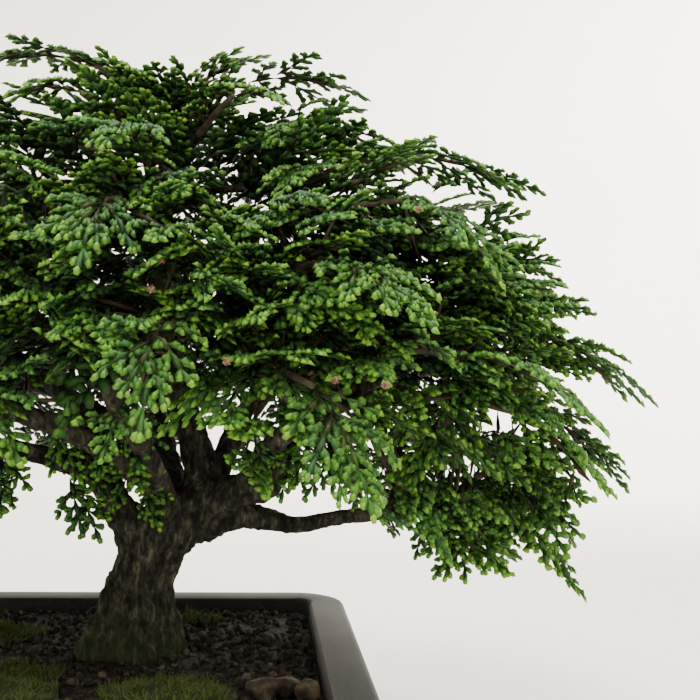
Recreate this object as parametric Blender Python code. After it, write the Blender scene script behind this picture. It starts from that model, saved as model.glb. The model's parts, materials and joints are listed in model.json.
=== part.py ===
"""Hinoki cypress bonsai in a rectangular unglazed pot.

Metres, +Z up. The object stands on z = 0 and its viewing side faces -Y. It is built round
the pot's centre, and then moved so that its box is centred over the origin. Points of
the tree are given from its foot: the middle of the trunk where it leaves the soil.
"""

import math
import random

import bmesh
import bpy
from mathutils import Matrix, Quaternion, Vector, noise
from mathutils.bvhtree import BVHTree

MM = 0.001
GAP = 0.3 * MM  # kept between pieces that touch

# The pot, outside sizes over the rim
POT_LENGTH = 210 * MM
POT_DEPTH = 160 * MM
POT_HEIGHT = 52 * MM
RIM_WIDTH = 14 * MM
LIP_OVERHANG = 5 * MM
LIP_HEIGHT = 8 * MM
WALL_SLOPE = 7 * MM
CORNER_RADIUS = 20 * MM
FLOOR_THICKNESS = 7 * MM
FOOT_HEIGHT = 7 * MM
FOOT_SIZE = (34 * MM, 26 * MM)
FOOT_INSET = 17 * MM
HOLE_DIAMETER = 18 * MM
HOLE_SPACING = 90 * MM

# The soil and what lies on it
SOIL_BELOW_RIM = 6 * MM
SOIL_MOUND = 3 * MM
MOUND_REACH = 62 * MM
SOIL_RELIEF = 1.1 * MM
MESH_SIDE = 28 * MM
MESH_THICKNESS = 1.2 * MM

# The tree
FOOT = Vector((28.6, 0, 49)) * MM
TRUNK_DEPTH_IN_SOIL = 22 * MM

# Trunk sections: height over the soil, centre x and y, radius, root flare from 0 to 1
TRUNK = (
    (-22, 0, 0, 13.0, 0.35),
    (-6, 0, 0, 16.0, 0.9),
    (1, -0.5, 0, 16.2, 1.0),
    (7, -0.6, 0, 14.6, 0.8),
    (14, 0, 0, 12.8, 0.5),
    (23, 0.8, 0, 11.4, 0.35),
    (32, 4.6, 0, 11.0, 0.3),
    (40, 9.5, 0, 11.8, 0.3),
    (48, 12.5, 1, 11.0, 0.25),
    (54, 14, 1, 8.0, 0.2),
)

# Limbs: x, y, height over the soil and radius of each point, in millimetres
LIMBS = {
    "left": ((2, 0, 32, 8), (-4, -3, 43, 6.2), (-13, -6, 60, 4.8), (-17, -7, 74, 4.2),
             (-30, -6, 90, 3.6), (-52, -3, 101, 3.0), (-78, 2, 104, 2.4)),
    "left_low": ((-12, -5, 58, 4), (-30, -14, 66, 3.4), (-54, -18, 70, 2.8),
                 (-82, -14, 70, 2.2)),
    "leader": ((12, 0, 42, 9), (20, 2, 55, 7.4), (18, 4, 68, 6), (14, 4, 80, 5.2),
               (8, 2, 104, 4.4), (6, -2, 130, 3.8), (4, 1, 156, 3.0), (3, 0, 182, 2.2)),
    "right_up": ((16, -1, 46, 8), (30, -4, 54, 6), (43, -5, 56, 4.8), (47, -6, 66, 4.2),
                 (58, -8, 80, 3.8), (80, -8, 94, 3.2), (102, -6, 104, 2.4)),
    "right_low": ((18, 2, 42, 7), (33, 3, 45, 5), (43, 3, 44, 4.2), (54, 4, 42, 3.2),
                  (70, 4, 45, 2.9), (88, 3, 47, 2.8), (101, 2, 51, 2.8), (113, 0, 55, 2.3)),
    "right_back": ((20, 4, 52, 6), (28, 12, 66, 4.6), (34, 24, 82, 3.8),
                   (50, 38, 94, 3.2), (70, 46, 100, 2.4)),
    "back": ((12, 6, 46, 6), (6, 22, 64, 4.4), (0, 38, 78, 3.6), (-2, 54, 86, 2.6)),
    "left_back": ((8, 12, 56, 4.6), (-10, 24, 72, 4), (-34, 36, 86, 3.2),
                  (-58, 44, 92, 2.4)),
    "front": ((10, -5, 44, 6), (6, -20, 62, 4.4), (2, -38, 76, 3.4), (-2, -54, 84, 2.6)),
    "front_left": ((5, -16, 58, 4), (-14, -28, 72, 3.6), (-38, -40, 82, 3),
                   (-58, -46, 86, 2.4)),
    "front_right": ((34, -4, 54, 4.4), (42, -20, 68, 3.8), (54, -36, 80, 3.2),
                    (70, -46, 86, 2.4)),
}

# Tiers of leafy branches, in millimetres: count, first azimuth in degrees, then height
# over the soil and distance out at the root and at the tip, and how much more the
# branches that face the front are raised
CROWN_CENTRE = (5, 0)
CROWN_DEPTH_SHARE = 0.68
TIERS = (
    (8, 20, 72, 98, 63, 166, 24),
    (8, 0, 92, 94, 88, 166, 12),
    (8, 22, 114, 86, 116, 158, 4),
    (7, 4, 138, 70, 146, 146, 0),
    (6, 32, 158, 50, 172, 122, 0),
    (6, 0, 178, 26, 194, 84, 0),
)
AZIMUTH_JITTER = 7
HEIGHT_JITTER = 5
REACH_JITTER = 7
SEED = 7

# Branches placed by hand: root and tip
PLACED_PADS = {
    "right_reach": ((116, -2, 60), (182, -10, 84)),
    "right_hang": ((108, 2, 50), (150, -20, 38)),
    "crown_left": ((2, -1, 188), (-44, -12, 213)),
    "crown_back": ((3, 3, 188), (8, 40, 210)),
    "crown_right": ((5, 0, 188), (58, -6, 209)),
}

# Fans, as shares of their branch's length: place along the twig, yaw, pitch, length
FANS = (
    (1.00, 0, -18, 0.64),
    (0.52, 90, -12, 0.62),
    (0.52, -90, -12, 0.62),
    (0.12, 0, 28, 0.62),
)
TWIG_SHARE = 0.5
FAN_WIDTH_SHARE = 0.95
FAN_THICKNESS = 2.4 * MM
FAN_DROOP = 0.9
FAN_CUP = 0.5

COLOURS = {
    "pot": ((0.085, 0.085, 0.078), 0.55),
    "soil": ((0.030, 0.026, 0.020), 0.95),
    "mesh": ((0.02, 0.02, 0.02), 0.6),
    "wood": ((0.075, 0.055, 0.038), 0.9),
    "leaf": ((0.060, 0.150, 0.035), 0.5),
    "moss": ((0.060, 0.090, 0.020), 0.9),
    "pebble": ((0.300, 0.200, 0.110), 0.7),
}


def clear_scene():
    for obj in list(bpy.data.objects):
        bpy.data.objects.remove(obj)


def new_collection(name):
    made = bpy.data.collections.new(name)
    bpy.context.scene.collection.children.link(made)
    return made


def material(name):
    colour, roughness = COLOURS[name]
    made = bpy.data.materials.get(name) or bpy.data.materials.new(name)
    made.use_nodes = True
    shader = made.node_tree.nodes["Principled BSDF"]
    shader.inputs["Base Color"].default_value = (*colour, 1)
    shader.inputs["Roughness"].default_value = roughness
    return made


def mesh_object(name, points, faces, collection):
    """An object of these points and faces, with its faces pointing out."""
    mesh = bpy.data.meshes.new(name)
    shell = bmesh.new()
    corners = [shell.verts.new(p) for p in points]
    for face in faces:
        shell.faces.new([corners[i] for i in face])
    bmesh.ops.recalc_face_normals(shell, faces=shell.faces)
    shell.to_mesh(mesh)
    shell.free()
    made = bpy.data.objects.new(name, mesh)
    collection.objects.link(made)
    return made


def lofted(name, rings, collection):
    """A closed solid through rings of equal counts, capped at both ends."""
    count = len(rings[0])
    points = [p for ring in rings for p in ring]
    faces = [
        (r * count + i, r * count + (i + 1) % count, (r + 1) * count + (i + 1) % count,
         (r + 1) * count + i)
        for r in range(len(rings) - 1)
        for i in range(count)
    ]
    faces.append(tuple(range(count)))
    faces.append(tuple(range((len(rings) - 1) * count, len(rings) * count)))
    return mesh_object(name, points, faces, collection)


def evaluated_mesh(obj):
    """The object's mesh as its modifiers or curve make it, in world space."""
    bpy.context.view_layer.update()
    graph = bpy.context.evaluated_depsgraph_get()
    mesh = bpy.data.meshes.new_from_object(obj.evaluated_get(graph))
    mesh.transform(obj.matrix_world)
    return mesh


def weld(mesh):
    """Joins the caps of a curve's mesh to its sides."""
    shell = bmesh.new()
    shell.from_mesh(mesh)
    bmesh.ops.remove_doubles(shell, verts=shell.verts, dist=0.01 * MM)
    shell.to_mesh(mesh)
    shell.free()
    return mesh


def fused(name, pieces, collection, solver="EXACT"):
    """One object from the union of these, which are then removed."""
    others = new_collection(name + "_pieces")
    first, rest = pieces[0], pieces[1:]
    for piece in rest:
        for owner in list(piece.users_collection):
            owner.objects.unlink(piece)
        others.objects.link(piece)
    union = first.modifiers.new("union", "BOOLEAN")
    union.operation = "UNION"
    union.operand_type = "COLLECTION"
    union.collection = others
    union.solver = solver
    mesh = evaluated_mesh(first)
    made = bpy.data.objects.new(name, mesh)
    mesh.name = name
    for piece in pieces:
        bpy.data.objects.remove(piece)
    bpy.data.collections.remove(others)
    collection.objects.link(made)
    return made


def finish(obj, colour, smooth=35):
    obj.data.materials.clear()
    obj.data.materials.append(material(colour))
    obj.data.shade_smooth()
    obj.data.set_sharp_from_angle(angle=math.radians(smooth))
    return obj


def cutter(obj):
    obj.hide_render = True
    obj.display_type = "WIRE"
    return obj


def cut(obj, tool):
    difference = obj.modifiers.new("cut_" + tool.name, "BOOLEAN")
    difference.operation = "DIFFERENCE"
    difference.object = cutter(tool)
    difference.solver = "EXACT"


def rounded_rectangle(length, depth, radius, z, steps=4):
    """Points round a rectangle with round corners, at height z."""
    points = []
    for corner in range(4):
        sx, sy = ((1, 1), (-1, 1), (-1, -1), (1, -1))[corner]
        for step in range(steps + 1):
            angle = math.pi / 2 * (corner + step / steps)
            points.append(Vector((
                sx * (length / 2 - radius) + radius * math.cos(angle),
                sy * (depth / 2 - radius) + radius * math.sin(angle),
                z,
            )))
    return points


def pot_ring(inset, z):
    """A ring of the pot, this far in from the rim's outer edge."""
    radius = max(CORNER_RADIUS - inset, 6 * MM)
    return rounded_rectangle(POT_LENGTH - 2 * inset, POT_DEPTH - 2 * inset, radius, z)


def inner_wall_inset(z):
    """How far the inside of the pot's wall lies in from the rim's outer edge."""
    down = (POT_HEIGHT - z) / POT_HEIGHT
    return RIM_WIDTH + WALL_SLOPE * down


def make_pot(collection, cutters):
    wall = LIP_OVERHANG
    top = POT_HEIGHT
    floor_top = FOOT_HEIGHT + FLOOR_THICKNESS
    rings = [
        pot_ring(wall + WALL_SLOPE + 3 * MM, FOOT_HEIGHT),
        pot_ring(wall + WALL_SLOPE, FOOT_HEIGHT + 3 * MM),
        pot_ring(wall + 1 * MM, top - LIP_HEIGHT - 2 * MM),
        pot_ring(wall - 1 * MM, top - LIP_HEIGHT),
        pot_ring(1.2 * MM, top - LIP_HEIGHT + 1 * MM),
        pot_ring(0, top - LIP_HEIGHT + 2.5 * MM),
        pot_ring(0, top - 2 * MM),
        pot_ring(0.7 * MM, top - 0.6 * MM),
        pot_ring(2.2 * MM, top),
        pot_ring(RIM_WIDTH - 1.5 * MM, top),
        pot_ring(inner_wall_inset(top - 1.5 * MM), top - 1.5 * MM),
        pot_ring(inner_wall_inset(floor_top), floor_top),
    ]
    body = lofted("pot_body", rings, collection)
    feet = [make_foot(sx, sy, collection) for sx in (-1, 1) for sy in (-1, 1)]
    pot = fused("pot", [body, *feet], collection)
    for side in (-1, 1):
        bpy.ops.mesh.primitive_cylinder_add(
            vertices=20, radius=HOLE_DIAMETER / 2, depth=4 * FLOOR_THICKNESS,
            location=(side * HOLE_SPACING / 2, 0, FOOT_HEIGHT + FLOOR_THICKNESS / 2),
        )
        hole = bpy.context.object
        hole.name = "hole_cutter_" + ("left" if side < 0 else "right")
        move_to(hole, cutters)
        cut(pot, hole)
    return finish(pot, "pot")


def make_foot(side_x, side_y, collection):
    """A corner foot: a block that tapers to its flat sole."""
    length, depth = FOOT_SIZE
    x = side_x * (POT_LENGTH / 2 - FOOT_INSET - length / 2)
    y = side_y * (POT_DEPTH / 2 - FOOT_INSET - depth / 2)
    rings = []
    for z, inset in ((0, 1.8 * MM), (0.8 * MM, 1 * MM), (FOOT_HEIGHT + 3 * MM, 0)):
        ring = rounded_rectangle(length - 2 * inset, depth - 2 * inset, 4 * MM, z, 2)
        rings.append([p + Vector((x, y, 0)) for p in ring])
    return lofted("foot", rings, collection)


def move_to(obj, collection):
    for owner in list(obj.users_collection):
        owner.objects.unlink(obj)
    collection.objects.link(obj)


def ground_z(x, y):
    """Height of the soil's smooth surface."""
    away = math.hypot(x - FOOT.x, y - FOOT.y)
    mound = SOIL_MOUND * math.exp(-((away / MOUND_REACH) ** 2))
    return POT_HEIGHT - SOIL_BELOW_RIM + mound


def make_soil(collection, cutters):
    top = POT_HEIGHT - SOIL_BELOW_RIM
    low = FOOT_HEIGHT + FLOOR_THICKNESS + GAP
    mesh_top = low + MESH_THICKNESS + GAP
    rings = [pot_ring(inner_wall_inset(low) + GAP, low)]
    rim = pot_ring(inner_wall_inset(top) + GAP, top)
    rings.append(rim)
    centre = Vector((FOOT.x, FOOT.y, 0))
    for share in (0.965, 0.9, 0.8, 0.7, 0.6, 0.5, 0.4, 0.3, 0.2, 0.1):
        ring = []
        for p in rim:
            at = centre + (Vector((p.x, p.y, 0)) - centre) * share
            at.z = ground_z(at.x, at.y) + soil_relief(at)
            ring.append(at)
        rings.append(ring)
    soil = lofted("soil", rings, collection)
    triangulate = soil.modifiers.new("triangulate", "TRIANGULATE")
    triangulate.keep_custom_normals = False
    trunk = trunk_loft("trunk_hole", cutters, GAP)
    cut(soil, trunk)
    for side in (-1, 1):
        bpy.ops.mesh.primitive_cube_add(size=1, location=(side * HOLE_SPACING / 2, 0, low))
        recess = bpy.context.object
        recess.name = "mesh_recess_" + ("left" if side < 0 else "right")
        recess.scale = (
            MESH_SIDE + 2 * GAP, MESH_SIDE + 2 * GAP, 2 * (mesh_top - low),
        )
        move_to(recess, cutters)
        cut(soil, recess)
    return finish(soil, "soil", 80)


def soil_relief(at):
    """Grain of the soil's surface, smooth where moss lies on it."""
    if any(inside_patch(at, patch, 1.25) for patch in MOSS.values()):
        return 0
    return SOIL_RELIEF * noise.noise(at * 160)


def make_drainage_mesh(side, collection):
    """A square plastic grid that lies over a drainage hole."""
    bars = []
    count = 3
    thick = MESH_THICKNESS
    z = FOOT_HEIGHT + FLOOR_THICKNESS + GAP + thick / 2
    pitch = (MESH_SIDE - 2 * MM) / (count - 1)
    for i in range(count):
        offset = -MESH_SIDE / 2 + 1 * MM + i * pitch
        for along_x in (True, False):
            bpy.ops.mesh.primitive_cube_add(size=1)
            bar = bpy.context.object
            move_to(bar, collection)
            where = (0, offset) if along_x else (offset, 0)
            size = (MESH_SIDE, 2 * MM) if along_x else (2 * MM, MESH_SIDE)
            bar.location = (side * HOLE_SPACING / 2 + where[0], where[1], z)
            bar.scale = (*size, thick)
            bars.append(bar)
    name = "drainage_mesh_" + ("left" if side < 0 else "right")
    return finish(fused(name, bars, collection), "mesh")


def trunk_loft(name, collection, grown=0.0):
    """The trunk, its outline lobed where roots flare, grown outwards by a clearance."""
    rings = []
    sides = 16
    for height, x, y, radius, flare in TRUNK:
        ring = []
        for i in range(sides):
            angle = 2 * math.pi * i / sides
            lobes = 0.16 * math.cos(5 * angle + 0.9) + 0.07 * math.cos(3 * angle + 2)
            reach = radius * MM * (1 + flare * lobes) + grown
            ring.append(FOOT + Vector((
                x * MM + reach * math.cos(angle), y * MM + reach * math.sin(angle),
                height * MM - (grown if height == TRUNK[0][0] else 0),
            )))
        rings.append(ring)
    return lofted(name, rings, collection)


def smooth_path(points, per_span):
    """Points on a Catmull-Rom curve through these vectors."""
    ends = [points[0] * 2 - points[1], *points, points[-1] * 2 - points[-2]]
    path = []
    for i in range(1, len(ends) - 2):
        a, b, c, d = ends[i - 1:i + 3]
        for step in range(per_span):
            t = step / per_span
            path.append(0.5 * (
                2 * b + (c - a) * t + (2 * a - 5 * b + 4 * c - d) * t * t
                + (3 * b - a - 3 * c + d) * t * t * t
            ))
    path.append(points[-1].copy())
    return path


def tube(name, path, collection, sides=6):
    """A tapering tube: path holds 4D points, the last number being the radius."""
    curve = bpy.data.curves.new(name, "CURVE")
    curve.dimensions = "3D"
    curve.bevel_depth = 1
    curve.bevel_resolution = (sides - 4) // 2
    curve.use_fill_caps = True
    spline = curve.splines.new("POLY")
    spline.points.add(len(path) - 1)
    for point, at in zip(spline.points, path):
        point.co = (*at[:3], 1)
        point.radius = at[3]
    curved = bpy.data.objects.new(name, curve)
    collection.objects.link(curved)
    made = bpy.data.objects.new(name, weld(evaluated_mesh(curved)))
    bpy.data.objects.remove(curved)
    collection.objects.link(made)
    return made


def limb_paths():
    """Each limb as smooth 4D points in metres, in the object's frame."""
    foot = Vector((*FOOT, 0))
    return {
        name: [foot + Vector(point) * MM for point in points]
        for name, points in LIMBS.items()
    }


def pads():
    """Each leafy branch's name, root, tip and own random generator."""
    placed = []
    draw = random.Random(SEED)
    for tier, (count, first, z_root, out_root, z_tip, out_tip, raise_front) in enumerate(
        TIERS, 1
    ):
        for k in range(count):
            azimuth = math.radians(
                first + 360 * k / count + draw.uniform(-1, 1) * AZIMUTH_JITTER
            )
            lift = draw.uniform(-1, 1) * HEIGHT_JITTER
            lift += raise_front * max(0, -math.sin(azimuth))
            stretch = draw.uniform(-1, 1) * REACH_JITTER
            away = Vector((math.cos(azimuth), CROWN_DEPTH_SHARE * math.sin(azimuth), 0))
            centre = Vector((*CROWN_CENTRE, 0))
            root = centre + away * out_root + Vector((0, 0, z_root + lift))
            tip = centre + away * (out_tip + stretch) + Vector((0, 0, z_tip + lift))
            if tier == 1 and is_near_placed(tip):
                continue
            placed.append((f"foliage_tier{tier}_{k + 1}", root, tip))
    for name, (root, tip) in PLACED_PADS.items():
        placed.append(("foliage_" + name, Vector(root), Vector(tip)))
    return [
        (name, FOOT + root * MM, FOOT + tip * MM, random.Random(f"{SEED} {name}"))
        for name, root, tip in placed
    ]


def is_near_placed(tip):
    near = [Vector(t) for _, t in PLACED_PADS.values()]
    return any((tip - t).length < 40 for t in near)


def branch_path(root, tip, limbs):
    """A branch from the nearest fitting limb point to a leafy branch's root."""
    heading = (tip - root).normalized()
    best = None
    for path in limbs.values():
        for at in path[1:]:
            place = at.xyz
            to_root = root - place
            turn = 1 - to_root.normalized().dot(heading) if to_root.length > 1e-6 else 0
            drop = max(0, place.z - root.z)
            cost = to_root.length * (1 + 0.7 * turn) + 1.5 * drop
            if best is None or cost < best[0]:
                best = (cost, at)
    start = best[1]
    reach = (root - start.xyz).length
    mid = start.xyz.lerp(root, 0.55) - heading * reach * 0.12 + Vector((0, 0, reach * 0.05))
    before = root - heading * min(6 * MM, reach * 0.3)
    corners = [
        Vector((*start.xyz, min(start.w * 0.8, 2.6 * MM))),
        Vector((*mid, 1.9 * MM)),
        Vector((*before, 1.5 * MM)),
        Vector((*root, 1.4 * MM)),
    ]
    return corners


def make_tree_wood(collection):
    limbs = limb_paths()
    pieces = [trunk_loft("trunk", collection)]
    pieces += [tube("limb", path, collection) for path in limbs.values()]
    for name, root, tip, draw in pads():
        pieces.append(tube("branch", branch_path(root, tip, limbs), collection, 4))
    return finish(fused("trunk_and_branches", pieces, collection), "wood", 60)


def twig_path(root, tip):
    """The leafy branch's own twig: 4D points from its root outwards."""
    run = tip - root
    heading = run.normalized()
    start = root + heading * GAP
    end = root + run * TWIG_SHARE
    sag = Vector((0, 0, -0.04 * run.length))
    mid = start.lerp(end, 0.5) - sag * 0.6
    return smooth_path([
        Vector((*start, 1.4 * MM)),
        Vector((*(start + heading * 4 * MM), 1.3 * MM)),
        Vector((*mid, 1.2 * MM)),
        Vector((*end, 0.9 * MM)),
    ], 1)


def along(path, share):
    """The point this share of the way along a path."""
    place = share * (len(path) - 1)
    i = min(int(place), len(path) - 2)
    return path[i].lerp(path[i + 1], place - i).xyz


def fan_placings(root, tip, draw):
    """Each fan's origin, heading, face normal and length."""
    run = tip - root
    size = run.length
    heading = run.normalized()
    side = Vector((0, 0, 1)).cross(heading).normalized()
    up = heading.cross(side)
    path = twig_path(root, tip)
    placings = []
    for share, yaw, pitch, length in FANS:
        yaw = math.radians(yaw + draw.uniform(-7, 7))
        pitch = math.radians(pitch + draw.uniform(-9, 9))
        roll = math.radians(draw.uniform(-14, 14))
        aim = heading * math.cos(yaw) + side * math.sin(yaw)
        across = up.cross(aim)
        aim = aim * math.cos(pitch) + up * math.sin(pitch)
        normal = aim.cross(across).normalized()
        normal = Quaternion(aim, roll) @ normal
        length = size * length * draw.uniform(0.92, 1.08)
        placings.append((along(path, share), aim, normal, length))
    return placings


def fan_points(length):
    """A fan's rib and outline, flat: two pairs of blunt lobes and one at the end."""
    width = length * FAN_WIDTH_SHARE
    rib = [(0.22 * length, 0), (0.66 * length, 0)]
    one_side = (
        (0.16, 0.05), (0.34, 0.44), (0.50, 0.52), (0.50, 0.21), (0.80, 0.42),
        (0.92, 0.30), (0.80, 0.11), (1.04, 0.09),
    )
    left = [(u * length, v * width) for u, v in one_side]
    return rib, [(-0.2 * MM, 0), *left] + [(u, -v) for u, v in reversed(left)]


def fan_solid(origin, aim, normal, length, grown=0.0):
    """Points and faces of one lobed fan, arched along and across, thin at its edge."""
    rib, outline = fan_points(length + grown)
    half = FAN_THICKNESS / 2 + grown
    across = normal.cross(aim)

    def place(u, v, w):
        droop = FAN_DROOP * u * u / length / 2
        cup = FAN_CUP * v * v / length
        return origin + aim * u + across * v + normal * (w - droop - cup)

    points = [place(u, v, 0) for u, v in outline]
    count = len(points)
    points += [place(u, v, half) for u, v in rib] + [place(u, v, -half) for u, v in rib]
    notch = 4
    faces = []
    for near in (count, count + len(rib)):
        far = near + 1
        for i in range(count // 2):
            centre = near if i < notch else far
            faces += [(i, i + 1, centre), (-i % count, -i - 1 + count, centre)]
        faces += [(near, notch, far), (near, count - notch, far)]
        faces.append((count // 2, count // 2 + 1, far))
    return points, faces


def clear_of(others, points, faces):
    shape = BVHTree.FromPolygons(points, faces)
    return not any(shape.overlap(other) for other in others)


BENDS = (
    (0, 0, 1), (9, 0, 1), (-9, 0, 1), (18, 0, 1), (-18, 0, 1), (0, 16, 1), (0, -16, 1),
    (12, 14, 0.85), (-12, -14, 0.85), (24, 0, 0.8), (-24, 0, 0.8), (0, 0, 0.7),
    (14, 0, 0.6), (-14, 0, 0.6),
)


def make_foliage(wood, collection):
    """The leafy branches: each fan is bent clear of every other branch, or left out."""
    wood_tree = BVHTree.FromObject(wood, bpy.context.evaluated_depsgraph_get())
    laid = {}
    branches = pads()
    for name, root, tip, draw in branches:
        twig = tube(name + "_twig", twig_path(root, tip), collection, 4)
        laid[name] = [twig]
    trees = {
        name: [BVHTree.FromObject(twigs[0], bpy.context.evaluated_depsgraph_get())]
        for name, twigs in laid.items()
    }
    dropped = 0
    for name, root, tip, draw in branches:
        others = [wood_tree] + [t for n, ts in trees.items() if n != name for t in ts]
        for origin, aim, normal, length in fan_placings(root, tip, draw):
            for pitch, roll, share in BENDS:
                across = normal.cross(aim)
                turn = Quaternion(across, math.radians(-pitch))
                turn = Quaternion(aim, math.radians(roll)) @ turn
                bent = (turn @ aim, turn @ normal, length * share)
                if clear_of(others, *fan_solid(origin, *bent, grown=0.5 * MM)):
                    points, faces = fan_solid(origin, *bent)
                    fan = mesh_object(name + "_fan", points, faces, collection)
                    laid[name].append(fan)
                    trees[name].append(BVHTree.FromPolygons(points, faces))
                    break
            else:
                dropped += 1
    print("fans left out:", dropped, "of", len(branches) * len(FANS))
    for name, pieces in laid.items():
        finish(fused(name, pieces, collection, "MANIFOLD"), "leaf", 50)


# Moss cushions: centre x and y, half sizes and height, in millimetres
MOSS = {
    "moss_left": (-52, -8, 30, 26, 8),
    "moss_front": (-14, -46, 30, 15, 7),
    "moss_front_right": (44, -46, 20, 14, 6),
}


def inside_patch(at, patch, grow=1.0):
    x, y, half_x, half_y, _ = (v * MM for v in patch)
    return math.hypot((at.x - x) / half_x, (at.y - y) / half_y) < grow


def make_moss(name, patch, collection):
    """A cushion that follows the soil below and swells in tufts above."""
    x, y, half_x, half_y, height = (v * MM for v in patch)
    sides = 14
    shares = (0.4, 0.78, 1.0)
    draw = random.Random(name)
    wobble = [draw.uniform(0.88, 1.0) for _ in range(sides)]

    def spot(share, i):
        angle = 2 * math.pi * i / sides
        reach = share * (wobble[i] if share > 0.5 else 1)
        return x + half_x * reach * math.cos(angle), y + half_y * reach * math.sin(angle)

    rings = []
    for share in shares:
        ring = [spot(share, i) for i in range(sides)]
        rings.append([Vector((u, v, ground_z(u, v) + GAP)) for u, v in ring])
    for share in reversed(shares):
        ring = []
        for i in range(sides):
            u, v = spot(share if share < 1 else 1.01, i)
            swell = height * (1 - 0.8 * share * share)
            tuft = 1 + 0.35 * noise.noise(Vector((u, v, 0)) * 110)
            ring.append(Vector((u, v, ground_z(u, v) + GAP + swell * tuft)))
        rings.append(ring)
    return finish(lofted(name, rings, collection), "moss", 80)


# Pebbles: x, y and radius, in millimetres, each overlapping the next
PEBBLES = (
    (72, -47, 4.6), (79, -44, 4.4), (85, -49, 4.8),
)


def make_pebbles(collection):
    """A row of river pebbles lying on the soil against each other."""
    stones = []
    draw = random.Random(3)
    for x, y, radius in PEBBLES:
        bpy.ops.mesh.primitive_ico_sphere_add(subdivisions=2, radius=radius * MM)
        stone = bpy.context.object
        move_to(stone, collection)
        low = ground_z(x * MM, y * MM) + SOIL_RELIEF * 0.6 + GAP
        stone.scale = (1.15, draw.uniform(0.9, 1.05), 0.7)
        stone.rotation_euler = (0, 0, draw.uniform(0, math.pi))
        stone.location = (x * MM, y * MM, low + radius * MM * 0.7)
        stones.append(stone)
    return finish(fused("pebbles", stones, collection), "pebble", 60)


def centre_on_origin(collections):
    """Moves everything so that the whole tree's box is centred over the origin."""
    bpy.context.view_layer.update()
    graph = bpy.context.evaluated_depsgraph_get()
    xs, ys = [], []
    for obj in collections[0].objects:
        box = obj.evaluated_get(graph).bound_box
        corners = [obj.matrix_world @ Vector(corner) for corner in box]
        xs += [corner.x for corner in corners]
        ys += [corner.y for corner in corners]
    middle = Vector(((min(xs) + max(xs)) / 2, (min(ys) + max(ys)) / 2, 0))
    for collection in collections:
        for obj in collection.objects:
            obj.location -= middle


def main():
    clear_scene()
    bonsai = new_collection("hinoki_cypress_bonsai")
    cutters = new_collection("cutters")
    make_pot(bonsai, cutters)
    make_soil(bonsai, cutters)
    for side in (-1, 1):
        make_drainage_mesh(side, bonsai)
    for name, patch in MOSS.items():
        make_moss(name, patch, bonsai)
    make_pebbles(bonsai)
    wood = make_tree_wood(bonsai)
    make_foliage(wood, bonsai)
    centre_on_origin((bonsai, cutters))


main()
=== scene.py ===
"""Looks of the hinoki cypress bonsai: scale-leaf sprays, bark, soil, moss, pot, stage."""

import json
import math
import random

import bmesh
import bpy
import numpy as np
from mathutils import Matrix, Quaternion, Vector, noise
from mathutils.kdtree import KDTree

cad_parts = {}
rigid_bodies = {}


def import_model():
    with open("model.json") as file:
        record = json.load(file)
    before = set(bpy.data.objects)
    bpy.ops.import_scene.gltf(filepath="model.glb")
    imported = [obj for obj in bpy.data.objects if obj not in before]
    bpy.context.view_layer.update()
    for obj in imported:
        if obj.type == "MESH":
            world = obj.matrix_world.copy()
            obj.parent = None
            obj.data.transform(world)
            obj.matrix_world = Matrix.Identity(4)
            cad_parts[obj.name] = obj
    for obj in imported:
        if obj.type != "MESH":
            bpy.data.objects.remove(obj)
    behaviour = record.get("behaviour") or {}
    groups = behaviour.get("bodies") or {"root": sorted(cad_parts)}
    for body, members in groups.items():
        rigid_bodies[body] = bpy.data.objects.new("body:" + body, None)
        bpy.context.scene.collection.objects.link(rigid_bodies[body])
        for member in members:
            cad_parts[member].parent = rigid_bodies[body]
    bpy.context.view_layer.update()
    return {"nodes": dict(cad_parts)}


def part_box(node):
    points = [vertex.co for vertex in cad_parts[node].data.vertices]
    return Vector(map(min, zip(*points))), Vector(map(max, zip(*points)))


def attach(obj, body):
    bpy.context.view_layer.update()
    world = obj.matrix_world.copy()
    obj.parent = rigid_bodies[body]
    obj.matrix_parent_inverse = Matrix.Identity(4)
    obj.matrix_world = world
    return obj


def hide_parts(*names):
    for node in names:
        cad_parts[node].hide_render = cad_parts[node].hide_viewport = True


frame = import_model()

MM = 0.001
pot_low, pot_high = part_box("pot")
POT_CENTRE = Vector(((pot_low.x + pot_high.x) / 2, (pot_low.y + pot_high.y) / 2, 0))

# The pot
POT_LENGTH = 210 * MM
POT_DEPTH = 160 * MM
POT_HEIGHT = 52 * MM
RIM_WIDTH = 14 * MM
LIP_OVERHANG = 5 * MM
LIP_HEIGHT = 8 * MM
WALL_SLOPE = 7 * MM
CORNER_RADIUS = 20 * MM
INNER_CORNER = 6 * MM
FLOOR_THICKNESS = 7 * MM
FOOT_HEIGHT = 7 * MM
FOOT_SIZE = (34 * MM, 26 * MM)
FOOT_INSET = 17 * MM
HOLE_DIAMETER = 18 * MM
HOLE_SPACING = 90 * MM

# The soil
SOIL_BELOW_RIM = 6 * MM
SOIL_MOUND = 3 * MM
MOUND_REACH = 62 * MM
GRAINS = 2600
TRUNK_CLEARANCE = 15.5 * MM
# Grain radii in millimetres
GRAIN_RADII = (0.7, 0.8, 0.9, 1.0, 1.1, 1.2, 1.4, 1.7)
# Moss cushions: centre x and y, half sizes and height, in millimetres
MOSS = {
    "moss_left": (-52, -8, 30, 26, 8),
    "moss_front": (-14, -46, 30, 15, 7),
    "moss_front_right": (44, -46, 20, 14, 6),
}
# Thinner growth around the cushions, given in the same way
THIN_MOSS = {
    "thin_moss_left": (-34, 22, 30, 22, 5),
    "thin_moss_front": (-10, -26, 22, 14, 3.5),
    "thin_moss_back": (30, 46, 30, 12, 3.5),
}
MOSS_CLUMPS = 150
MOSS_TUFTS = 420
# Pebbles: x, y and radius, in millimetres, each overlapping the next
PEBBLES = ((72, -47, 4.6), (79, -44, 4.4), (85, -49, 4.8))

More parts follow.
